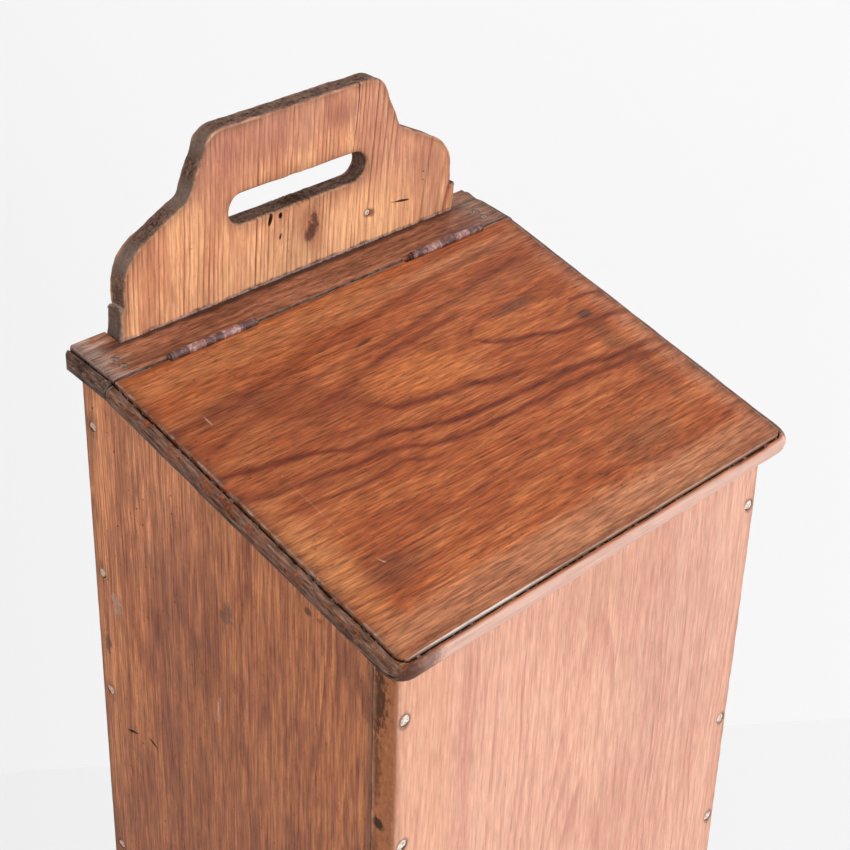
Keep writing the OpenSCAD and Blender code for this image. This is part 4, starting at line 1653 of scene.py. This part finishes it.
    def front_board(self) -> None:
        """The front board, rounded at its upright edges, with the holes of its nails."""
        low, high = node_box("front_board")
        half = self.width / 2
        top = high[2]
        thickness = high[1] - low[1]
        bevel = 12.0
        foot_corners = [Corner(-half, low[2], 1.5), Corner(half, low[2], 1.5)]
        loop = round_loop(foot_corners + [Corner(half, top, 1.0), Corner(-half, top, 1.0)], 5.0)

        def place(a: Array, b: Array, c: Array) -> Array:
            """Points of the chest, from the board's own coordinates."""
            fall = np.clip((thickness - c) * math.tan(SLOPE), 0, None)
            return np.stack([a, low[1] + c, b - fall * np.clip((b - top + bevel) / bevel, 0, 1)], -1)

        def unplace(spots: Array) -> Array:
            """The board's own coordinates, from points of the chest."""
            deep, height = spots[:, 1] - low[1], spots[:, 2]
            fall = np.clip((thickness - deep) * math.tan(SLOPE), 0, None) / bevel
            raised = (height + fall * (bevel - top)) / (1 - fall)
            return np.column_stack([spots[:, 0], np.where(height > top - bevel, raised, height), deep])

        slab = Slab("front_panel", loop, thickness, place, Wear.EASED, 31)
        piece = slab.build()
        sink_nails(piece, np.array([(x, low[1], z) for x, z in FRONT_NAILS]), 4.4, ACROSS_Y)
        tidy_mesh(piece)
        slab.mark(piece, unplace)
        install(piece, "front_board", "chest", front_finish(low[1]).material())

    def bottom_board(self) -> None:
        """The bare board inside the foot of the chest."""
        low, high = node_box("bottom_board")
        plan = ((low[0], low[1]), (high[0], low[1]), (high[0], high[1]), (low[0], high[1]))
        loop = round_loop([Corner(a, b) for a, b in plan], 6.0)

        def place(a: Array, b: Array, c: Array) -> Array:
            """Points of the chest, from the board's own coordinates."""
            return np.stack([a, b, high[2] - c], -1)

        def unplace(spots: Array) -> Array:
            """The board's own coordinates, from points of the chest."""
            return np.column_stack([spots[:, 0], spots[:, 1], high[2] - spots[:, 2]])

        slab = Slab("floor_board", loop, high[2] - low[2], place, Wear.CRISP, 51)
        piece = slab.build()
        slab.mark(piece, unplace)
        finish = Pine(
            "bare_pine", ACROSS_X, ACROSS_Y, (0.0, 0.0, -1.0),
            early=(0.52, 0.33, 0.18), late=(0.32, 0.17, 0.08), gold=(0.60, 0.41, 0.24), pith_across=-90.0,
            ring_pitch=5.0, seed=21.0, pores=0.2, gloss=0.6, wax=0.0,
        )
        install(piece, "bottom_board", "chest", finish.material())

    def build(self) -> None:
        """Builds the carcase."""
        self.back_board()
        self.side_board("left_side", "left_board", -1.0, 61)
        self.side_board("right_side", "right_board", 1.0, 71)
        self.front_board()
        self.bottom_board()


@dataclass
class Top:
    """The hinged lid and the fixed ledge, cut from one moulded section."""

    field_half: float = 180.5
    corner_r: float = 7.0
    quirk_w: float = 1.3
    quirk_d: float = 3.6
    bead_drop: float = 2.0
    bead_r: float = 5.0
    nose_w: float = 7.5
    lid_front: float = 269.8
    ledge_depth: float = 46.5
    past: float = 34.0

    def section(self, travel: Array, seed: int) -> list[tuple[Array, Array]]:
        """The moulding's rows, as (distance inwards from the arris, depth below the field).

        The arris is a worn quarter round that chips eat into, then come the quirk, the bead's crown and its
        quarter round of radius bead_r, and a quarter round that takes the nose under to the bottom face.

        Args:
            travel: distance along the outline.
            seed: picks the wear.

        Returns:
            The rows, from the field to the bottom face.
        """
        noise = waves(travel, travel * 0, seed, 120, 9)
        left = np.clip((330.0 - travel) / 40.0, 0, 1)
        chips = bites(travel, seed + 1, 26, 7, 1.5) + left * bites(travel, seed + 9, 90, 4.5, 1.7)
        arris = np.clip(0.8 + 0.25 * noise + 0.7 * chips, 0.35, 3.1)
        bead_wear = np.clip(0.15 * noise + 0.9 * bites(travel, seed + 2, 12, 12, 1.4), 0, 1.5)
        nose_wear = np.clip(0.25 + 0.2 * waves(travel, travel * 0, seed + 3, 200, 14), 0, 0.9)
        floor = np.full_like(travel, self.quirk_d)
        turns = np.linspace(0, math.pi / 2, 6)
        rows = [(arris * (1 - math.sin(t)), arris * (1 - math.cos(t))) for t in turns]
        none = 0 * travel
        crown = self.bead_drop + bead_wear
        rows += [(none, floor - 0.3), (none - 0.25, floor), (none - self.quirk_w + 0.25, floor)]
        rows.append((none - self.quirk_w, np.minimum(crown + 0.5, floor)))
        rows.append((none - self.quirk_w - 0.3, crown + 0.05))
        bead_u, bead_c = self.nose_w - self.bead_r, self.bead_drop + self.bead_r
        for t in np.linspace(0, math.pi / 2, 9):
            squash = 1 - bead_wear / self.bead_r
            u = bead_u + (self.bead_r - nose_wear) * math.sin(t)
            rows.append((-u, bead_c - self.bead_r * squash * math.cos(t)))
        belly_r = BOARD_T - bead_c
        belly_u = self.nose_w - belly_r
        for t in np.linspace(0, math.pi / 2, 12)[1:]:
            u = belly_u + (belly_r - nose_wear) * math.cos(t)
            rows.append((-u, bead_c + belly_r * np.sin(t) + none))
        return rows

    def moulded_blank(
        self, name: str, front: float, back: float, slope: float, rise: float, seed: int
    ) -> bpy.types.Object:
        """A board with the moulding all round, lying on its slope and running past its cuts.

        Args:
            name: the piece's name.
            front: how far the field reaches in front of the hinge line.
            back: how far it reaches behind it.
            slope: the fall towards the front.
            rise: the height of the field at the hinge line.
            seed: picks the wear.

        Returns:
            The blank.
        """
        corners = [
            Corner(-self.field_half, -front, self.corner_r),
            Corner(self.field_half, -front, self.corner_r),
            Corner(self.field_half, back, self.corner_r),
            Corner(-self.field_half, back, self.corner_r),
        ]
        loop = round_loop(corners, 1.8)
        rows = [
            np.column_stack([loop.inset(inset), depth]) for inset, depth in self.section(loop.travel, seed)
        ]
        middle = loop.points.mean(0)
        core = middle + CORE_SHARE * (loop.points - middle)
        top, under = [], []
        for share in FACE_SHARES[:-1]:
            spots = core + share * (rows[0][:, :2] - core)
            dip = 0.12 * (1 + waves(spots[:, 0], spots[:, 1], seed + 5, 150, 30)) * (1 - share) ** 0.3
            top.append(np.column_stack([spots, np.maximum(dip, 0)]))
            spots = core + share * (rows[-1][:, :2] - core)
            under.append(np.column_stack([spots, np.full(len(spots), BOARD_T)]))
        grid = np.stack(top + rows + under[::-1])
        y, z = grid[..., 1], -grid[..., 2]
        cosine, sine = math.cos(slope), math.sin(slope)
        points = np.stack([grid[..., 0], y * cosine - z * sine, y * sine + z * cosine + rise], -1)
        piece = mesh_piece(name, points, grid_faces(len(grid), grid.shape[1], False))
        tidy_mesh(piece)
        return piece

    def hinge_cut(self, piece: bpy.types.Object, side: float) -> None:
        """Cuts the recesses for the leaves and knuckles of both hinges.

        The section is an upright slot beside the joint, joined to a round groove about the pins' axis.

        Args:
            piece: the lid or the ledge.
            side: -1 for the lid and 1 for the ledge.
        """
        groove, deep, low, high = 3.3, JOINT_GAP / 2 + 1.4, AXIS_RISE - 15.5, 25.0
        half = math.sqrt(groove**2 - deep**2)
        start = math.atan2(half, deep)
        angles = np.linspace(-start, start, 12)
        arc = np.column_stack([side * groove * np.cos(angles), AXIS_RISE + groove * np.sin(angles)])
        foot, head = [[-side, low], [side * deep, low]], [[side * deep, high], [-side, high]]
        section = np.concatenate([foot, arc, head])
        for leaf, before in (("left_fixed_leaf", 0.5), ("right_fixed_leaf", 8.0)):
            box_low, box_high = node_box(leaf)
            carve(piece, prism(section, box_low[0] - before, box_high[0] + 0.5, (1, 2, 0)))

    def mark(self, piece: bpy.types.Object, front: float, slope: float, rise: float) -> None:
        """Writes where each point lies on the moulding, for the finish to read.

        Args:
            piece: the lid or the ledge.
            front: how far the field reaches in front of the hinge line.
            slope: the fall towards the front.
            rise: the height of the field at the hinge line.
        """
        x, y, z = (own_points(piece) - [0.0, 0.0, rise]).T
        cosine, sine = math.cos(slope), math.sin(slope)
        along, up = y * cosine + z * sine, z * cosine - y * sine
        corner = np.column_stack(
            [np.abs(x) - self.field_half + self.corner_r, -along - front + self.corner_r]
        )
        outside = np.linalg.norm(np.maximum(corner, 0), axis=1) + np.minimum(corner.max(1), 0) - self.corner_r
        joint = np.abs(y)
        arris = np.exp(-((outside / 1.1) ** 2) - (np.maximum(-up, 0) / 1.1) ** 2)
        quirk = np.clip((-up - 1.0) / 1.2, 0, 1) * np.clip(1.4 - np.abs(outside - 0.5), 0, 1)
        belly = np.clip((outside + 4) / 3, 0, 1) * np.clip((-up - 5.0) / 2.0, 0, 1)
        belly = np.maximum(belly, np.clip((outside - 2.6) / 1.6, 0, 1)) * (-up > 1.0)
        # Where the finish paints glare: the belly of the moulding, away from the left end and the end grain
        worn = belly * np.clip((x + 178.0) / 12.0, 0, 1)
        rim = np.exp(-np.abs(np.minimum(outside, 0)) / 9.0) * (up > -1.2)
        cut = np.clip((-up - 1.2) / 2.0, 0, 1) * (np.abs(joint - 0.7) < 0.6)
        end = np.clip((corner[:, 0] - corner[:, 1] + 3.0) / 4.0, 0, 1) * np.clip(outside, 0, 1)
        end = np.maximum(end, np.clip((np.abs(x) - self.field_half - 1.0) / 2.0, 0, 1))
        # low marks the lower part of the edge, where the finish paints shade on the end grain
        marks = {
            "arris": arris, "wall": cut, "rim": rim, "sunk": quirk, "end": end, "worn": worn * (1 - end),
            "low": np.clip((-up - 6.5) / 3.0, 0, 1) * (outside > -6.0),
        }
        write_marks(piece, marks)

    def slice(self, piece: bpy.types.Object, y: float) -> None:
        """Cuts off what lies behind a place, plumb across, and closes the cut with one face.

        Args:
            piece: the piece.
            y: where the cut lies.
        """
        spot = (0.0, (y + HINGE_Y) * MM, 0.0)
        with edited(piece.data) as work:
            everything = work.verts[:] + work.edges[:] + work.faces[:]
            bmesh.ops.bisect_plane(
                work, geom=everything, plane_co=spot, plane_no=ACROSS_Y, clear_outer=True, dist=1e-7
            )
            bmesh.ops.contextual_create(work, geom=[edge for edge in work.edges if edge.is_boundary])

    def lid(self) -> None:
        """The lid."""
        piece = self.moulded_blank("lid_board", self.lid_front, self.past, SLOPE, 0.0, 83)
        self.slice(piece, -JOINT_GAP / 2)
        self.hinge_cut(piece, -1.0)
        tidy_mesh(piece)
        self.mark(piece, self.lid_front, SLOPE, 0.0)
        install(piece, "lid", "lid", lid_finish().material())

    def ledge(self) -> None:
        """The fixed ledge, notched round the back board."""
        back = self.ledge_depth + self.past
        piece = self.moulded_blank("ledge_board", self.past, back, LEDGE_SLOPE, LEDGE_RISE, 97)
        low, high = node_box("ledge")
        inner = node_box("left_side")[1][0]
        notch = node_box("back_board")[0][1] - 0.2
        plan = round_loop(
            [
                Corner(low[0], JOINT_GAP / 2, 0.4),
                Corner(high[0], JOINT_GAP / 2, 0.4),
                Corner(high[0], high[1], 8),
                Corner(-inner, high[1], 0.6),
                Corner(-inner, notch, 0.3),
                Corner(inner, notch, 0.3),
                Corner(inner, high[1], 0.6),
                Corner(low[0], high[1], 8),
            ],
            6.0,
        )
        carve(piece, prism(plan.points, -60.0, 60.0, (0, 1, 2)), "INTERSECT")
        self.hinge_cut(piece, 1.0)
        down, into = slope_axes(LEDGE_SLOPE)
        holes = np.array([(x, -back * down[1], LEDGE_RISE - back * down[2]) for x, back in LEDGE_NAILS])
        sink_nails(piece, holes, 3.4, into, 16)
        tidy_mesh(piece)
        # The moulding along the blank's front is cut away, so its marks are kept out of the joint
        self.mark(piece, self.past + 40, LEDGE_SLOPE, LEDGE_RISE)
        install(piece, "ledge", "chest", ledge_finish().material())

    def build(self) -> None:
        """Builds the lid and the ledge."""
        self.lid()
        self.ledge()


@dataclass(frozen=True)
class Nail:
    """A nail's head: the middle of its face, the way that it looks, its radius and how ragged its rim is."""

    spot: Point
    outward: Point
    radius: float
    ragged: float = 1.0


@dataclass
class Ironwork:
    """The hammered nail heads, and finishes of the hinges, pins and screws, which keep their solids."""

    hinge: PaintedMetal = PaintedMetal(
        "hinge_paint", (0.10, 0.038, 0.034), (0.30, 0.165, 0.15), (0.02, 0.009, 0.008),
    )
    pink_hinge: PaintedMetal = PaintedMetal(
        "worn_hinge_paint", (0.28, 0.125, 0.112), (0.52, 0.34, 0.31), (0.04, 0.017, 0.016),
    )
    steel: OldIron = OldIron("old_steel", (0.45, 0.42, 0.40), (0.16, 0.13, 0.11), 0.8)
    nails: OldIron = OldIron("nail_iron", (0.88, 0.78, 0.70), (0.40, 0.28, 0.21), 0.0)
    filled: OldIron = OldIron("filled_nail", (0.66, 0.50, 0.40), (0.33, 0.17, 0.10), 0.0)
    dark_nails: OldIron = OldIron("dark_nail_iron", (0.30, 0.21, 0.17), (0.09, 0.05, 0.035), 0.05)
    depth: float = 1.5

    def heads(self, name: str, nails: Sequence[Nail], seed: int) -> bpy.types.Object:
        """All the heads of one group, as closed domes with uneven rims.

        Each is a polar grid. Its rim's radius and its height are sums of a few seeded waves, the height falls
        off towards the rim with the fourth power of the radius, and a skirt runs into the wood.

        Args:
            name: the piece's name.
            nails: the heads.
            seed: picks the waves.

        Returns:
            The piece.
        """
        rng = np.random.default_rng(seed)
        angles = np.arange(28) * TAU / 28
        shares = np.array([0.08, 0.3, 0.52, 0.72, 0.87, 0.96, 1.0])
        points, faces = [], []
        for number, nail in enumerate(nails):
            ahead, side, other = axes_about(nail.outward)
            phases = rng.uniform(0, TAU, 4)
            sizes = rng.uniform(0.2, 1.0, 4) * [0.05, 0.05, 0.035, 0.025] * nail.ragged
            swell = (sizes * np.cos(np.outer(angles, [1, 2, 3, 5]) + phases)).sum(-1)
            rim = nail.radius * np.minimum(0.93 + swell, 1.08)
            reach = shares[:, None] * rim
            u, v = reach * np.cos(angles), reach * np.sin(angles)
            lumps = 0.10 * waves(u, v, seed + number, 7.0, 2.2, 8) + 0.03 * rng.normal() * u
            height = -0.22 + np.clip(lumps, -0.5, 0.1) - 0.35 * shares[:, None] ** 4
            foot = np.stack([u[-1:], v[-1:], np.full_like(u[-1:], -self.depth)], -1)
            flat = np.concatenate([np.stack([u, v, height], -1), foot])
            points.append(
                np.array(nail.spot) + flat[..., :1] * side + flat[..., 1:2] * other + flat[..., 2:] * ahead
            )
            own = grid_faces(len(shares) + 1, len(angles), False)
            faces += [[index + number * (len(shares) + 1) * len(angles) for index in face] for face in own]
        piece = mesh_piece(name, np.concatenate([p.reshape(-1, 3) for p in points]), faces)
        tidy_mesh(piece, 60.0)
        return piece

    def build_heads(self) -> None:
        """Replaces the nails that show by hammered heads."""
        front, side = node_box("front_board")[0][1], node_box("left_side")[0][0]
        crest = node_box("back_board")[0][1]
        ahead, left = (0.0, -1.0, 0.0), (-1.0, 0.0, 0.0)
        front_nails = [Nail((x, front, z), ahead, 4.0, 2.2) for x, z in FRONT_NAILS]
        side_nails = [Nail((side, y, z), left, 3.6, 3.2) for y, z in SIDE_NAILS]
        side_nails += [Nail((-side, y, z), ACROSS_X, 3.6, 3.2) for y, z in SIDE_NAILS]
        up = (0.0, -math.sin(LEDGE_SLOPE), math.cos(LEDGE_SLOPE))
        ledge_nails = [Nail((x, back * up[2], LEDGE_RISE - back * up[1]), up, 3.0) for x, back in LEDGE_NAILS]
        crest_nail = [Nail((CREST_NAIL[0], crest, CREST_NAIL[1]), ahead, 2.5)]
        light, filled, dark = self.nails.material(), self.filled.material(), self.dark_nails.material()
        install(self.heads("front_heads", front_nails, 5), "front_nails", "chest", light)
        install(self.heads("side_heads", side_nails, 6), "side_nails", "chest", filled)
        install(self.heads("ledge_heads", ledge_nails, 7), "ledge_nails", "chest", dark)
        install(self.heads("crest_head", crest_nail, 8), "crest_nail", "chest", light)

    def build(self) -> None:
        """Dresses each metal node, and builds the heads."""
        finishes = {
            "left_fixed_leaf": self.hinge, "left_lid_leaf": self.pink_hinge,
            "right_fixed_leaf": self.hinge, "right_lid_leaf": self.pink_hinge,
            "left_hinge_pin": self.steel, "right_hinge_pin": self.steel,
            "ledge_screws": self.steel, "lid_screws": self.steel, "bottom_nails": self.dark_nails,
        }
        made: dict[str, bpy.types.Material] = {}
        for node, finish in finishes.items():
            if finish.name not in made:
                made[finish.name] = finish.material()
            put_on(frame["nodes"][node], made[finish.name])
            log.info("%s: %s", node, finish.name)
        self.build_heads()


def main() -> None:
    """Builds the studio and the chest."""
    logging.basicConfig(level=logging.INFO, format="%(message)s")
    bpy.context.scene.view_settings.view_transform = "Standard"
    for part in (Studio(), Carcase(), Top(), Ironwork()):
        part.build()


if __name__ == "__main__":
    main()
